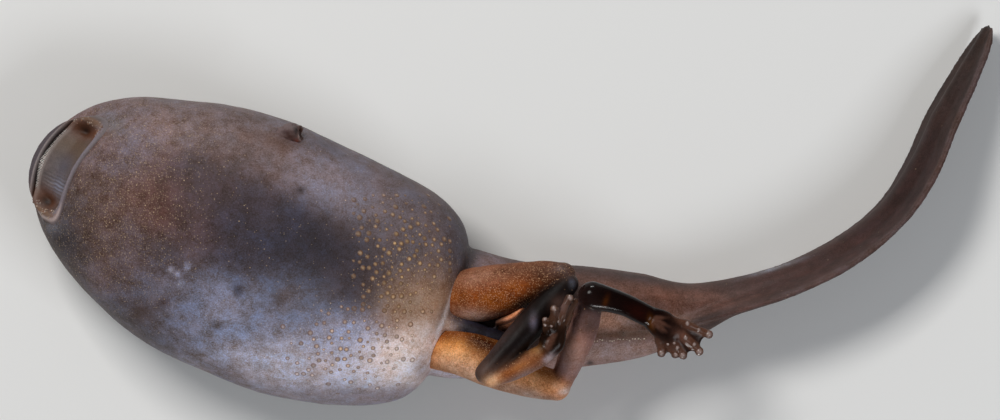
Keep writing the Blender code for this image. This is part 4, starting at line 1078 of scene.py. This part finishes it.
def tinted(name, rough, coat):
    """Soft wet tissue whose colour is painted point by point, with a fine stipple and bump.

    The coat is the film of water on it. The tissue lets a little light through.
    """
    material, tree, shader = new_material(name)
    place = add(tree, "TexCoord").outputs["Object"]
    tint = add(tree, "Attribute", attribute_name="tint").outputs["Color"]
    fine = add(tree, "TexNoise", [("Vector", place), ("Scale", 1.0 / (TISSUE_GRAIN * MM)), ("Detail", 3.0)])
    stipple = add(tree, "MapRange", [("Value", fine), ("From Min", 0.3), ("From Max", 0.7),
                                     ("To Min", 0.86), ("To Max", 1.14)])
    shade = add(tree, "VectorMath", [(0, tint), ("Scale", stipple)], operation="SCALE")
    tree.links.new(shade.outputs["Vector"], shader.inputs["Base Color"])
    bump = add(tree, "Bump", [("Height", fine), ("Strength", 0.5), ("Distance", TISSUE_BUMP * MM)])
    tree.links.new(bump.outputs["Normal"], shader.inputs["Normal"])
    for key, value in (("Roughness", rough), ("IOR", 1.38), ("Coat Weight", coat), ("Coat Roughness", 0.12),
                       ("Subsurface Weight", 0.1), ("Subsurface Radius", (1.0, 0.5, 0.35)),
                       ("Subsurface Scale", 0.4 * MM)):
        shader.inputs[key].default_value = value
    return material


# Painting


def oval(points, place, sizes, turn):
    """1 at the middle of a turned oval in plan, fading as a bell curve; 0.6 at its half sizes."""
    arm = points[:, :2] - np.array(place)
    angle = math.radians(turn)
    along = arm[:, 0] * math.cos(angle) + arm[:, 1] * math.sin(angle)
    across = -arm[:, 0] * math.sin(angle) + arm[:, 1] * math.cos(angle)
    return np.exp(-0.5 * ((along / sizes[0]) ** 2 + (across / sizes[1]) ** 2))


def colour_of(code):
    """A colour's linear red, green and blue as an array."""
    return np.array(linear(code)[:3])


def toward(colours, code, amount):
    """Colours moved towards another by an amount from 0 to 1 for each point."""
    return colours + (colour_of(code) - colours) * amount[:, None]


def marked(colours, points, marks, share=1.0):
    """Colours moved in turn towards each mark's, by strength times oval times a share."""
    for code, place, sizes, turn, strength in marks:
        colours = toward(colours, code, strength * oval(points, place, sizes, turn) * share)
    return colours


def nearest_tail(points):
    """For each point its place along the tail, and how far it is sideways and along the blade.

    The place is that of the nearest point of the middle line in plan.
    """
    place = np.linspace(0.0, 1.0, 260)
    centre, _, side, blade, _, _ = tail_frame(place)
    gap = ((points[:, None, :2] - centre[None, :, :2]) ** 2).sum(axis=2)
    index = gap.argmin(axis=1)
    arm = points - centre[index]
    return place[index], (arm * side[index]).sum(axis=1), (arm * blade[index]).sum(axis=1)


def paint_body(points):
    """Colours of the body: each belly mark, painted sheen and shade too, by its share of all marks' ovals,
    and a plain back.
    """
    colours = np.zeros((len(points), 3))
    total = np.full(len(points), 1e-9)
    for code, place, sizes, turn in BELLY_MARKS_SHEEN_AND_SHADE:
        share = oval(points, place, sizes, turn) ** 1.3
        colours += share[:, None] * colour_of(code)
        total += share
    colours /= total[:, None]
    colours = marked(colours, points, [(*spot, SPOT_STRENGTH) for spot in BELLY_SPOTS_GLINTS_AND_SHADE])
    return toward(colours, BACK_COLOUR, ease(8.0, 3.0, points[:, 2]))


def paint_tail(points, facing, place, across, upward):
    """The tail's own colours along its length, with fibres, marks, pale fin rims of painted rim light and
    the vent tube.

    Marks are placed in plan, so they fade where the skin no longer faces up. Some of them are
    painted shade, painted highlights and painted light.
    """
    codes = np.array([colour_of(code) for _, code in TAIL_COLOURS])
    at = [where for where, _ in TAIL_COLOURS]
    colours = np.stack([np.interp(place, at, codes[:, index]) for index in range(3)], axis=1)
    pale = ease(0.5, 3.0, across) * ease(0.45, 0.25, place)
    colours = toward(colours, TAIL_FLANK, 0.75 * pale)
    run = np.stack([place * TAIL_RUN / FIBRE_LENGTH, upward / FIBRE_WIDTH, across / FIBRE_WIDTH], axis=1)
    fibre = grain(run, 1.0, 31) + 0.7 * grain(2.3 * run, 1.0, 32)
    colours = colours * (1.0 + FIBRE_DEPTH * fibre)[:, None]
    deep = tail_frame(place)[-1]
    fin = np.interp(place, VENTRAL_FIN[:, 0], VENTRAL_FIN[:, 1])
    rim = ease(0.78, 0.97, (upward - deep) / np.maximum(fin, 0.3)) * ease(0.42, 0.55, place)
    # Painted rim light along the fin's outer edge
    colours = toward(colours, PAINTED_FIN_RIM_LIGHT, 0.7 * rim)
    colours = marked(colours, points, TAIL_MARKS_SHADE_AND_GLINTS, facing)
    steps = 40
    gap = np.linalg.norm(points[:, None] - spread(VENT_POINTS, steps)[None], axis=2)
    along = gap.argmin(axis=1) / (steps - 1.0)
    first, last = (colour_of(code) for code in VENT_COLOURS)
    tube = first + (last - first) * along[:, None]
    return colours + (tube - colours) * ease(1.5, 0.9, gap.min(axis=1))[:, None]


def tail_share(points):
    """0 on the body and 1 on the tail, with a short blend where the tail begins."""
    return ease(*TAIL_SEAM, (points - BODY_SNOUT) @ BODY_BACK)


# Pieces


class TADPOLE_OT_skin(bpy.types.Operator):
    """One skin over the head, trunk, tail and fins"""

    bl_idname = "tadpole.skin"
    bl_label = "Body and tail skin"

    def execute(self, context):
        finish = context.scene.tadpole_belly
        shells = [body_shell(), muscle_shell(), fin_shell(VENTRAL_FIN, 1.0), fin_shell(DORSAL_FIN, -1.0),
                  tube_shell(VENT_POINTS, VENT_RADII, VENT_RADII, 32, 0.2), limb_shell(GAP_FOLD)]
        mesh = fuse("body_skin", shells, finish.grid, 5)
        points, normals = read_points(mesh)
        relief = finish.relief / MM
        folds = sum(share * grain(points, size, seed) for seed, (size, share) in enumerate(FOLDS, 1))
        points = points + normals * (relief * folds)[:, None]
        points = self.sink_mouth(points)
        points = self.press_eyes(points, normals)
        points[:, 2] = np.maximum(points[:, 2], 0.0)
        write_points(mesh, points)
        share = tail_share(points)
        place, across, upward = nearest_tail(points)
        facing = ease(-0.05, 0.3, normals[:, 2])
        # Colours of belly and tail, painted sheen, shade and highlights among them
        colours = paint_body(points)
        colours = colours + (paint_tail(points, facing, place, across, upward) - colours) * share[:, None]
        write_tint(mesh, colours)
        # Specks thin out down the flanks and on the tail, which is about half as wet as the toes;
        # the grain is weaker towards the rear of the belly
        gold = np.full(len(points), 0.04)
        for spot, sizes, turn, most in SPECK_FIELDS:
            gold = np.maximum(gold, most * oval(points, spot, sizes, turn))
        write_amount(mesh, "gold", gold * ease(3.0, 8.0, points[:, 2]) * (1.0 - 0.8 * share))
        write_amount(mesh, "wet", 0.5 * ease(0.2, 0.8, share))
        write_amount(mesh, "grain", 1.0 - 0.28 * ease(-26.0, -14.0, points[:, 0]) * (1.0 - share))
        # Satin, mottled lilac and brown skin with cream specks, as it looks just out of liquid
        material = moist_skin("moist preserved belly skin", (*finish.speck_colour, 1.0), (0.54, 0.48),
                              0.34, 0.035, 0.08, 0.25, BELLY_SPECK_LAYERS)
        place_piece("body_skin", mesh, material, "belly_skin", "head", "trunk", "tail_base",
                    "tail_middle", "tail_end", "ventral_fin", "dorsal_fin", "vent_tube")
        return {"FINISHED"}

    @staticmethod
    def sink_mouth(points):
        """Lowers the skin under the mouth's face, and slopes it down to the rim round it."""
        sideways, across, height = disc_read(points)
        reach = disc_reach(sideways, across)
        inside = disc_height(sideways, across) - 0.3
        rim = disc_height(sideways / reach, across / reach) - 0.05
        outside = rim + (height - rim) * ease(0.98, 1.5, reach)
        limit = np.where(reach < 0.96, inside, outside)
        drop = np.where((height > limit) & (height > -3.0), height - limit, 0.0)
        return points - drop[:, None] * DISC_OUT

    @staticmethod
    def press_eyes(points, normals):
        """Raises a soft rim round each eye, and sinks each nostril inside a low rim."""
        moved = points.copy()
        for angle in (-EYE_ANGLE, EYE_ANGLE - math.pi):
            spot, _ = body_spot(EYE_DISTANCE, angle)
            gap = np.linalg.norm(points - spot, axis=1)
            moved += normals * (0.25 * bell(gap, 1.25, 0.35))[:, None]
        for angle in (-NOSTRIL_ANGLE, NOSTRIL_ANGLE - math.pi):
            spot, outward = body_spot(NOSTRIL_DISTANCE, angle)
            gap = np.linalg.norm(points - spot, axis=1)
            pit = 0.12 * bell(gap, 0.6, 0.2) - 0.8 * bell(gap, 0.0, 0.28)
            moved += outward * pit[:, None]
        return moved


class TADPOLE_OT_legs(bpy.types.Operator):
    """One skin over each folded hind leg, from thigh to toes"""

    bl_idname = "tadpole.legs"
    bl_label = "Hind legs"

    def execute(self, context):
        grid = context.scene.tadpole_leg.grid
        legs = {
            "left": ((THIGH_LEFT, SHANK_LEFT, TARSUS_LEFT, PALM_LEFT), TOES_LEFT),
            "right": ((THIGH_RIGHT, SHANK_RIGHT, TARSUS_RIGHT, PALM_RIGHT), TOES_RIGHT),
        }
        for side, (pieces, toes) in legs.items():
            shells = [limb_shell(piece) for piece in pieces]
            shells += [toe_shell(toe) for toe in toes]
            shells += [web_shell(first, second) for first, second in zip(toes[:-1], toes[1:])]
            shells += [ray_shell(pieces[3], toe) for toe in toes]
            mesh = fuse("leg_skin_" + side, shells, grid, 4)
            points, normals = read_points(mesh)
            folds = 0.02 * grain(points, 0.9, 11) + 0.012 * grain(points, 0.4, 12)
            points = points + normals * folds[:, None]
            write_points(mesh, points)
            shares = self.piece_shares(points, pieces, toes)
            colours = shares @ np.array([colour_of(code) for code in LEG_COLOURS[side]])
            colours = marked(colours, points, LEG_MARKS_HIGHLIGHTS_AND_SHADE[side])
            web = shares[:, -1] * ease(0.0, 0.14, self.toe_gap(points, toes))
            colours = toward(colours, WEB_COLOUR, 0.85 * web)
            ray = np.min([tube_gap(points, ray_path(pieces[3], toe), RAY_RADII) for toe in toes], axis=0)
            ridge = ease(0.12, 0.0, ray) * (shares[:, 3] + shares[:, 4]) * ease(0.3, 0.0, -normals[:, 2])
            write_tint(mesh, toward(colours, RAY_COLOUR, 0.75 * ridge))
            gold = shares @ np.array(LEG_GOLD[side])
            write_amount(mesh, "gold", gold * (0.5 + 0.5 * oval(points, *LEG_SPECKS[side])))
            write_amount(mesh, "wet", shares @ np.array(LEG_WET[side]))
            write_amount(mesh, "grain", shares @ np.array(LEG_GRAIN[side]))
            # Matt orange grain on the thighs, and dark wet gloss from the tarsus to the toes
            material = moist_skin("wet leg skin " + side, linear("#dcae84"), (0.58, 0.13), 0.35, 0.03,
                                  0.12, 0.14, LEG_SPECK_LAYERS)
            nodes = [f"{name}_{side}" for name in ("thigh", "shank", "tarsus", "foot")]
            place_piece("leg_skin_" + side, mesh, material, "leg_skin", *nodes)
        return {"FINISHED"}

    @staticmethod
    def toe_gap(points, toes):
        """Each point's distance from the skin of the nearest toe."""
        return np.min([tube_gap(points, toe, TOE_RADII[::2]) for toe in toes], axis=0)

    @classmethod
    def piece_shares(cls, points, pieces, toes):
        """Each piece's share of a point: near 1 for the one whose skin is nearest, toes last."""
        gaps = [tube_gap(points, [row[0] for row in piece], [row[1] for row in piece]) for piece in pieces]
        gaps = np.stack([*gaps, cls.toe_gap(points, toes)], axis=1)
        weight = np.exp(-(gaps - gaps.min(axis=1, keepdims=True)) / 0.18)
        return weight / weight.sum(axis=1, keepdims=True)


class TADPOLE_OT_mouth(bpy.types.Operator):
    """The oral disc with its lips, slit, denticles and papillae"""

    bl_idname = "tadpole.mouth"
    bl_label = "Mouth"

    def execute(self, context):
        finish = context.scene.tadpole_mouth
        self.make_face()
        self.make_denticles(finish.denticles)
        self.make_papillae(finish.papillae)
        return {"FINISHED"}

    @staticmethod
    def make_face():
        """The lips and bowl as one closed grid, painted by reach and angle."""
        around = 300
        rows, columns = np.meshgrid(np.linspace(0.02, 1.0, 100), turns(around), indexing="ij")
        sideways, across = disc_round(rows, columns)
        face = disc_place(sideways, across, disc_height(sideways, across))
        rows, columns = np.meshgrid((0.99, 0.93, 0.8, 0.4), turns(around), indexing="ij")
        depth = np.repeat(np.array([-0.9, -1.5, -2.0, -DISC_DEPTH])[:, None], around, axis=1)
        under = disc_place(*disc_round(rows, columns), depth)
        zero = np.array([0.0])
        start = disc_place(zero, zero, disc_height(zero, zero))
        end = disc_place(zero, zero, np.array([-DISC_DEPTH]))
        points, faces = closed_grid(np.concatenate([face, under]), start, end)
        mesh = make_mesh("mouth", points, faces)
        points, normals = read_points(mesh)
        sideways, across, _ = disc_read(points)
        reach = disc_reach(sideways, across)
        waves = np.sin(sideways * 110.0 + 1.5 * grain(points, 0.6, 24))
        stripes = waves * bell(sideways, 0.37, 0.13)
        lift = 0.02 * grain(points, 0.5, 21) + 0.012 * stripes * ease(0.6, 0.3, reach)
        write_points(mesh, points + normals * lift[:, None])
        mottle = 1.0 + 0.22 * grain(points, 0.45, 22) + 0.18 * grain(points, 0.2, 23)
        colours = colour_of("#574a48") * mottle[:, None]

        hind = ease(0.1, 0.5, across)
        comb = bell(across, 0.05 - COMB_LINE, 0.05)
        band = ease(SLIT_LINE + 0.03, SLIT_LINE + 0.06, -across)
        gap = (ease(SLIT_LINE - 0.06, SLIT_LINE - 0.04, -across)
               * ease(SLIT_LINE + 0.045, SLIT_LINE + 0.03, -across))
        edge = ease(0.93, 0.98, reach)
        ends = ease(0.78, 0.86, np.abs(sideways)) * (1.0 - band)
        # Each corner pit: brown skin round it, and a dark middle that is painted shade
        pits = [(code, most * bell(sideways, place, wide) * bell(across, level, deep))
                for place, level in CORNER_PITS
                for code, most, wide, deep in (("#6a3a18", 0.85, 0.17, 0.45), ("#1a0e08", 0.9, 0.09, 0.18))]
        washes = (
            # The bowl: brown, grey and a blue-grey patch of fine folds
            ("#5f4a38", 0.8 * bell(sideways, -0.36, 0.26) * ease(0.8, 0.4, reach)),
            ("#5c5862", 0.7 * bell(sideways, 0.05, 0.22) * bell(across, 0.1, 0.3)),
            ("#8f93a8", 0.75 * bell(sideways, 0.37, 0.13) * bell(across, 0.2, 0.3) * (0.6 + 0.4 * waves)),
            # The hind lip, the shelf of the comb, the front lip and the slit, whose near-black is painted
            # shade
            ("#7c737c", 0.8 * ease(0.72, 0.88, reach) * hind),
            ("#5f5355", edge * hind),
            ("#8f8480", 0.7 * comb * ease(0.85, 0.6, np.abs(sideways))),
            ("#50474c", band),
            ("#a39896", 0.8 * bell(across, -SLIT_LINE - 0.055, 0.018) * band),
            ("#0b0706", gap * ease(0.86, 0.78, np.abs(sideways))),
            # The corner pits with their painted shade, the skin round them and the pale rim at the right
            # corner
            *pits,
            ("#75401a", 0.8 * bell(sideways, -0.70, 0.10) * bell(across, 0.40, 0.22)),
            ("#7a5c46", 0.7 * ends * ease(0.95, 0.88, reach)),
            ("#6f6466", edge * ease(-0.5, -0.8, sideways)),
            ("#c0aaa4", 0.8 * bell(reach, 0.94, 0.025) * ease(0.5, 0.8, sideways)),
        )
        for code, amount in washes:
            colours = toward(colours, code, np.clip(amount, 0.0, 1.0))
        write_tint(mesh, colours)
        # Soft and only slightly glossy, so the folds show and the bowl stays dull
        place_piece("mouth", mesh, tinted("wet lip tissue", 0.55, 0.0), "lip_skin", "oral_disc")

    @staticmethod
    def make_denticles(count):
        """A comb of flat tapered teeth along the inner side of the slit."""
        draw = np.random.default_rng(7)
        places = np.linspace(-0.80, 0.74, count)
        size = 0.2 + 0.8 * bell(places, 0.12, 0.22)
        shells = []
        for place, scale in zip(places, size):
            place = np.array([place + draw.normal(scale=0.002)])
            scale = scale * draw.uniform(0.75, 1.1)
            base = disc_place(place, np.array([-COMB_LINE + 0.03]), np.array([-0.36]))[0]
            tip = disc_place(place, np.array([-COMB_LINE - 0.01 - 0.07 * scale]),
                             np.array([-0.22 + 0.16 * scale]))[0]
            along = unit(tip - base)
            beside = unit(np.cross(along, DISC_OUT))
            path = np.linspace(0.0, 1.0, 5)[:, None] * (tip - base) + base
            width = 0.048 * np.array([1.0, 1.0, 0.9, 0.7, 0.35])
            rings = ringed(path, width, width, beside, np.cross(beside, along), 8)
            shells.append(closed_grid(rings, base, tip + along * 0.02))
        tones = [np.tile(colour_of("#d8cdc6") * (0.45 + 0.55 * scale), (len(shell[0]), 1))
                 for shell, scale in zip(shells, size)]
        # Pale, hard and wet, so each tooth is a small light line beside the dark slit
        painted_piece("denticles", shells, tones, tinted("horny denticle keratin", 0.3, 0.4), "lip_skin")

    @staticmethod
    def make_papillae(count):
        """Soft round bumps scattered over both corners of the mouth."""
        draw = np.random.default_rng(5)
        shells = []
        tones = []
        codes = [colour_of(code) for code in ("#8f7c70", "#a48d7c", "#6e5446", "#8a6650")]
        for end in (0.0, math.pi):
            for _ in range(count):
                angle = np.array([end + draw.uniform(-0.75, 0.75)])
                reach = np.array([draw.uniform(0.78, 0.93)])
                radius = draw.uniform(0.07, 0.13)
                sideways, across = disc_round(reach, angle)
                base = disc_place(sideways, across, disc_height(sideways, across) - 0.06)[0]
                shell = dome(base, DISC_OUT, radius, radius * draw.uniform(0.7, 1.3), 10, 5)
                shells.append(shell)
                tones.append(np.tile(codes[draw.integers(len(codes))], (len(shell[0]), 1)))
        # Wet bumps in browns and creams that each catch a point of light
        painted_piece("papillae", shells, tones, tinted("soft papilla tissue", 0.3, 0.6), "lip_skin")


class TADPOLE_OT_glands(bpy.types.Operator):
    """Raised glands over the rear of the belly"""

    bl_idname = "tadpole.glands"
    bl_label = "Belly glands"

    def execute(self, context):
        finish = context.scene.tadpole_gland
        draw = np.random.default_rng(17)
        kinds = ((finish.orange_count, *ORANGE_GLANDS), (finish.ring_count, *RINGED_GLANDS))
        around, rows = 14, 7
        part = dome_shares(around, rows)
        width = finish.width / MM
        shells = []
        tones = []
        for count, field, widths, centre, halo in kinds:
            spots = dropped("body_skin", self.scatter(draw, field, count, 0.9 * width))
            # The skin's painted colour under each gland, painted sheen and shade included
            ground = paint_body(np.array([spot for spot, _ in spots]))
            for (spot, outward), skin in zip(spots, ground):
                radius = 0.5 * width * draw.uniform(*widths)
                shells.append(dome(spot - 0.02 * outward, outward, radius, 0.28 * radius, around, rows))
                # Coloured by the field's oval: centre, ring of the halo's colour, foot as the skin
                tone = draw.uniform(0.45, 1.1)
                ring = 0.25 * skin + 0.75 * colour_of(halo)
                share = oval(spot[None], field[0], 1.6 * np.array(field[1]), field[2])[0]
                top = 1.5 * skin + (colour_of(centre) - 1.5 * skin) * share
                colour = ring + (top * tone - ring) * ease(0.72, 0.10, part)[:, None]
                tones.append(colour + (0.9 * skin - colour) * ease(0.72, 1.0, part)[:, None])
        # Satin like the skin round them, so the glands read by their colour and low relief
        painted_piece("belly_glands", shells, tones, tinted("raised gland skin", 0.45, 0.0), "belly_skin")
        return {"FINISHED"}

    @staticmethod
    def scatter(draw, field, count, gap):
        """Plan places in a turned oval field, denser at its middle and never too near together."""
        place, sizes, turn = field
        angle = math.radians(turn)
        found = []
        for _ in range(30 * count):
            along, across = np.clip(draw.normal(size=2), -2.2, 2.2) * sizes
            spot = (place[0] + along * math.cos(angle) - across * math.sin(angle),
                    place[1] + along * math.sin(angle) + across * math.cos(angle))
            behind = (np.array([*spot, 0.0]) - BODY_SNOUT) @ BODY_BACK
            if behind < GLAND_LIMIT and all(math.dist(spot, other) > gap for other in found):
                found.append(spot)
            if len(found) == count:
                break
        return found


class TADPOLE_OT_pores(bpy.types.Operator):
    """Dotted lines of pores on the tail, and the pale pads of the toes"""

    bl_idname = "tadpole.pores"
    bl_label = "Pores and toe pads"

    def execute(self, context):
        draw = np.random.default_rng(29)
        shells = []
        tones = []
        for start, end, code, share in PORE_ROWS:
            count = int(math.dist(start, end) / PORE_SPACING)
            line = np.linspace(start, end, count) + draw.normal(scale=0.05, size=(count, 2))
            for spot, outward in dropped("body_skin", line):
                radius = share * PORE_SPACING * draw.uniform(0.6, 1.0)
                shells.append(dome(spot - 0.02 * outward, outward, radius, 0.3 * radius, 10, 4))
                tones.append(np.tile(colour_of(code) * draw.uniform(0.7, 1.1), (len(shells[-1][0]), 1)))
        # Dull dots, brown and cream, in a fine line
        painted_piece("tail_pores", shells, tones, tinted("tail pore skin", 0.5, 0.0), "tail_skin")
        around, rows = 20, 8
        # Pale towards each pad's top: the pads' own colour, and painted glint
        top = ease(0.95, 0.25, dome_shares(around, rows))
        for side, pads in TOE_PADS.items():
            shells = []
            tone = toward(colour_of(LEG_COLOURS[side][4]), PAD_COLOUR_AND_GLINT, top)
            for place, radius in pads:
                for spot, outward in dropped("leg_skin_" + side, [place]):
                    base = spot - 0.25 * radius * outward
                    shells.append(dome(base, unit(outward + UPRIGHT), 1.25 * radius, 0.6 * radius,
                                       around, rows))
            # Smooth and wet, so each pad has a small highlight at the end of its toe
            painted_piece("toe_pads_" + side, shells, [tone] * len(shells),
                          tinted("pale toe pad " + side, 0.25, 0.2), "foot_skin")
        return {"FINISHED"}


class TADPOLE_OT_eyes(bpy.types.Operator):
    """The two eyes, set in the skin of the back"""

    bl_idname = "tadpole.eyes"
    bl_label = "Eyes"

    def execute(self, context):
        for name, angle in (("left", -EYE_ANGLE), ("right", EYE_ANGLE - math.pi)):
            spot, outward = body_spot(EYE_DISTANCE, angle)
            centre = spot - EYE_SUNK * outward
            turn = np.linspace(0.0, math.pi, 42)[1:-1]
            wide = EYE_RADIUS * np.sin(turn)
            helper = unit(np.cross(outward, UPRIGHT))
            rings = ringed(centre + EYE_RADIUS * np.cos(turn)[:, None] * outward, wide, wide, helper,
                           np.cross(outward, helper), 64)
            points, faces = closed_grid(rings, centre + EYE_RADIUS * outward, centre - EYE_RADIUS * outward)
            mesh = make_mesh("eye_ball_" + name, points, [face[::-1] for face in faces])
            off = np.arccos(np.clip(((points - centre) @ outward) / EYE_RADIUS, -1.0, 1.0))
            ring = ease(0.34, 0.38, off) * ease(0.85, 0.6, off)
            write_tint(mesh, toward(colour_of("#08080a"), "#7d6234", ring))
            # A black pupil in a dull gold iris, under a clear wet film
            place_piece("eye_ball_" + name, mesh, tinted("clear cornea over the iris " + name, 0.1, 1.0),
                        "eye", "eye_" + name)
        return {"FINISHED"}


class TADPOLE_OT_spiracle(bpy.types.Operator):
    """The breathing tube on the left flank, open at its hind end"""

    bl_idname = "tadpole.spiracle"
    bl_label = "Spiracle"

    def execute(self, context):
        path = []
        for distance, lift in zip(SPIRACLE_DISTANCE, SPIRACLE_LIFT):
            spot, outward = body_spot(distance, SPIRACLE_ANGLE)
            path.append(spot + lift * outward)
        rows, deep, around = 24, 12, 40
        outer = spread(path, rows)
        inner = outer[::-1][:deep]
        radius = np.concatenate([spread(SPIRACLE_RADII, rows), np.full(deep, SPIRACLE_BORE)])
        forward = unit(outer[-1] - outer[0])
        across = unit(np.cross(forward, UPRIGHT))
        rings = ringed(np.vstack([outer, inner]), radius, radius, across, np.cross(across, forward), around)
        points, faces = closed_grid(rings, outer[0], inner[-1])
        folds = 0.14 * grain(points, 0.42, 41) + 0.08 * grain(points, 0.18, 42)
        points = points + folds[:, None] * unit(points - 0.5 * (outer[0] + outer[-1]))
        mesh = make_mesh("spiracle_tube", points, faces)
        along = np.concatenate([np.repeat(np.linspace(0.0, 1.0, rows), around), np.ones(deep * around),
                                [0.0, 1.0]])
        colours = toward(colour_of("#6e5c5c"), "#47281e", along**4)
        write_tint(mesh, marked(colours, points, SPIRACLE_MARKS))
        # Thin crumpled skin, dull, and brown at its open end
        place_piece("spiracle_tube", mesh, tinted("thin dark spiracle skin", 0.6, 0.0), "tube_skin",
                    "spiracle")
        return {"FINISHED"}


class TADPOLE_OT_studio(bpy.types.Operator):
    """Plain pale floor, soft light and the camera straight above"""

    bl_idname = "tadpole.studio"
    bl_label = "Studio"

    def execute(self, context):
        finish = context.scene.tadpole_studio
        scene = context.scene
        mesh = bpy.data.meshes.new("floor")
        corners = [(x * FLOOR_HALF, y * FLOOR_HALF, 0.0) for x, y in ((-1, -1), (1, -1), (1, 1), (-1, 1))]
        mesh.from_pydata(corners, [], [(0, 1, 2, 3)])
        floor = bpy.data.objects.new("floor", mesh)
        scene.collection.objects.link(floor)
        # Plain and dull, so it takes the soft shadow and nothing else
        material, _, shader = new_material("matt painted board")
        shader.inputs["Base Color"].default_value = (*finish.floor_colour, 1.0)
        shader.inputs["Roughness"].default_value = 0.85
        mesh.materials.append(material)
        world = bpy.data.worlds.new("soft room")
        world.use_nodes = True
        background = world.node_tree.nodes["Background"]
        background.inputs["Color"].default_value = ROOM_COLOUR
        background.inputs["Strength"].default_value = ROOM_STRENGTH
        scene.world = world
        scene.view_settings.view_transform = "Standard"
        for lamp in LAMPS:
            self.light(*lamp)
        camera_data = bpy.data.cameras.new("camera")
        camera_data.sensor_width = SENSOR_WIDTH
        aim = (AIM - MIDDLE) * MM
        camera_data.lens = SENSOR_WIDTH * (finish.camera_distance - aim[2]) / (SEEN_BREADTH * MM)
        camera_data.clip_start = 0.01
        camera_data.clip_end = 10.0
        camera = bpy.data.objects.new("camera", camera_data)
        camera.location = (aim[0], aim[1], finish.camera_distance)
        scene.collection.objects.link(camera)
        scene.camera = camera
        return {"FINISHED"}

    @staticmethod
    def light(name, place, size, power, colour, lights_matt):
        """A soft rectangular lamp turned to the animal."""
        lamp = bpy.data.lights.new(name, "AREA")
        lamp.shape = "RECTANGLE"
        lamp.size, lamp.size_y = size
        lamp.energy = power
        lamp.color = colour
        item = bpy.data.objects.new(name, lamp)
        item.location = place
        forward = -np.array(place) / np.linalg.norm(place)
        item.rotation_euler = Vector(forward).to_track_quat("-Z", "Y").to_euler()
        item.visible_diffuse = lights_matt
        bpy.context.scene.collection.objects.link(item)


class TADPOLE_PT_panel(bpy.types.Panel):
    """Lists the tadpole's pieces in the sidebar."""

    bl_idname = "TADPOLE_PT_panel"
    bl_label = "Tadpole"
    bl_space_type = "VIEW_3D"
    bl_region_type = "UI"
    bl_category = "Tadpole"

    def draw(self, context):
        scene = context.scene
        for group in (scene.tadpole_belly, scene.tadpole_gland, scene.tadpole_leg, scene.tadpole_mouth,
                      scene.tadpole_studio):
            box = self.layout.box()
            for key in group.bl_rna.properties.keys():
                if key not in {"rna_type", "name"}:
                    box.prop(group, key)
        for operator in OPERATORS:
            self.layout.operator(operator.bl_idname)


GROUPS = {
    "tadpole_belly": BellyFinish,
    "tadpole_gland": GlandFinish,
    "tadpole_leg": LegFinish,
    "tadpole_mouth": MouthFinish,
    "tadpole_studio": StudioFinish,
}
OPERATORS = (TADPOLE_OT_skin, TADPOLE_OT_legs, TADPOLE_OT_mouth, TADPOLE_OT_glands, TADPOLE_OT_pores,
             TADPOLE_OT_eyes, TADPOLE_OT_spiracle, TADPOLE_OT_studio)


def register():
    """Adds the property groups, operators and panel."""
    for name, group in GROUPS.items():
        bpy.utils.register_class(group)
        setattr(bpy.types.Scene, name, PointerProperty(type=group))
    for item in (*OPERATORS, TADPOLE_PT_panel):
        bpy.utils.register_class(item)


def unregister():
    """Removes what register added."""
    for item in (TADPOLE_PT_panel, *reversed(OPERATORS)):
        bpy.utils.unregister_class(item)
    for name, group in GROUPS.items():
        delattr(bpy.types.Scene, name)
        bpy.utils.unregister_class(group)


def main():
    """Makes every piece and the studio."""
    register()
    bpy.ops.tadpole.skin()
    bpy.ops.tadpole.legs()
    bpy.ops.tadpole.mouth()
    bpy.ops.tadpole.glands()
    bpy.ops.tadpole.pores()
    bpy.ops.tadpole.eyes()
    bpy.ops.tadpole.spiracle()
    bpy.ops.tadpole.studio()


if __name__ == "__main__":
    main()
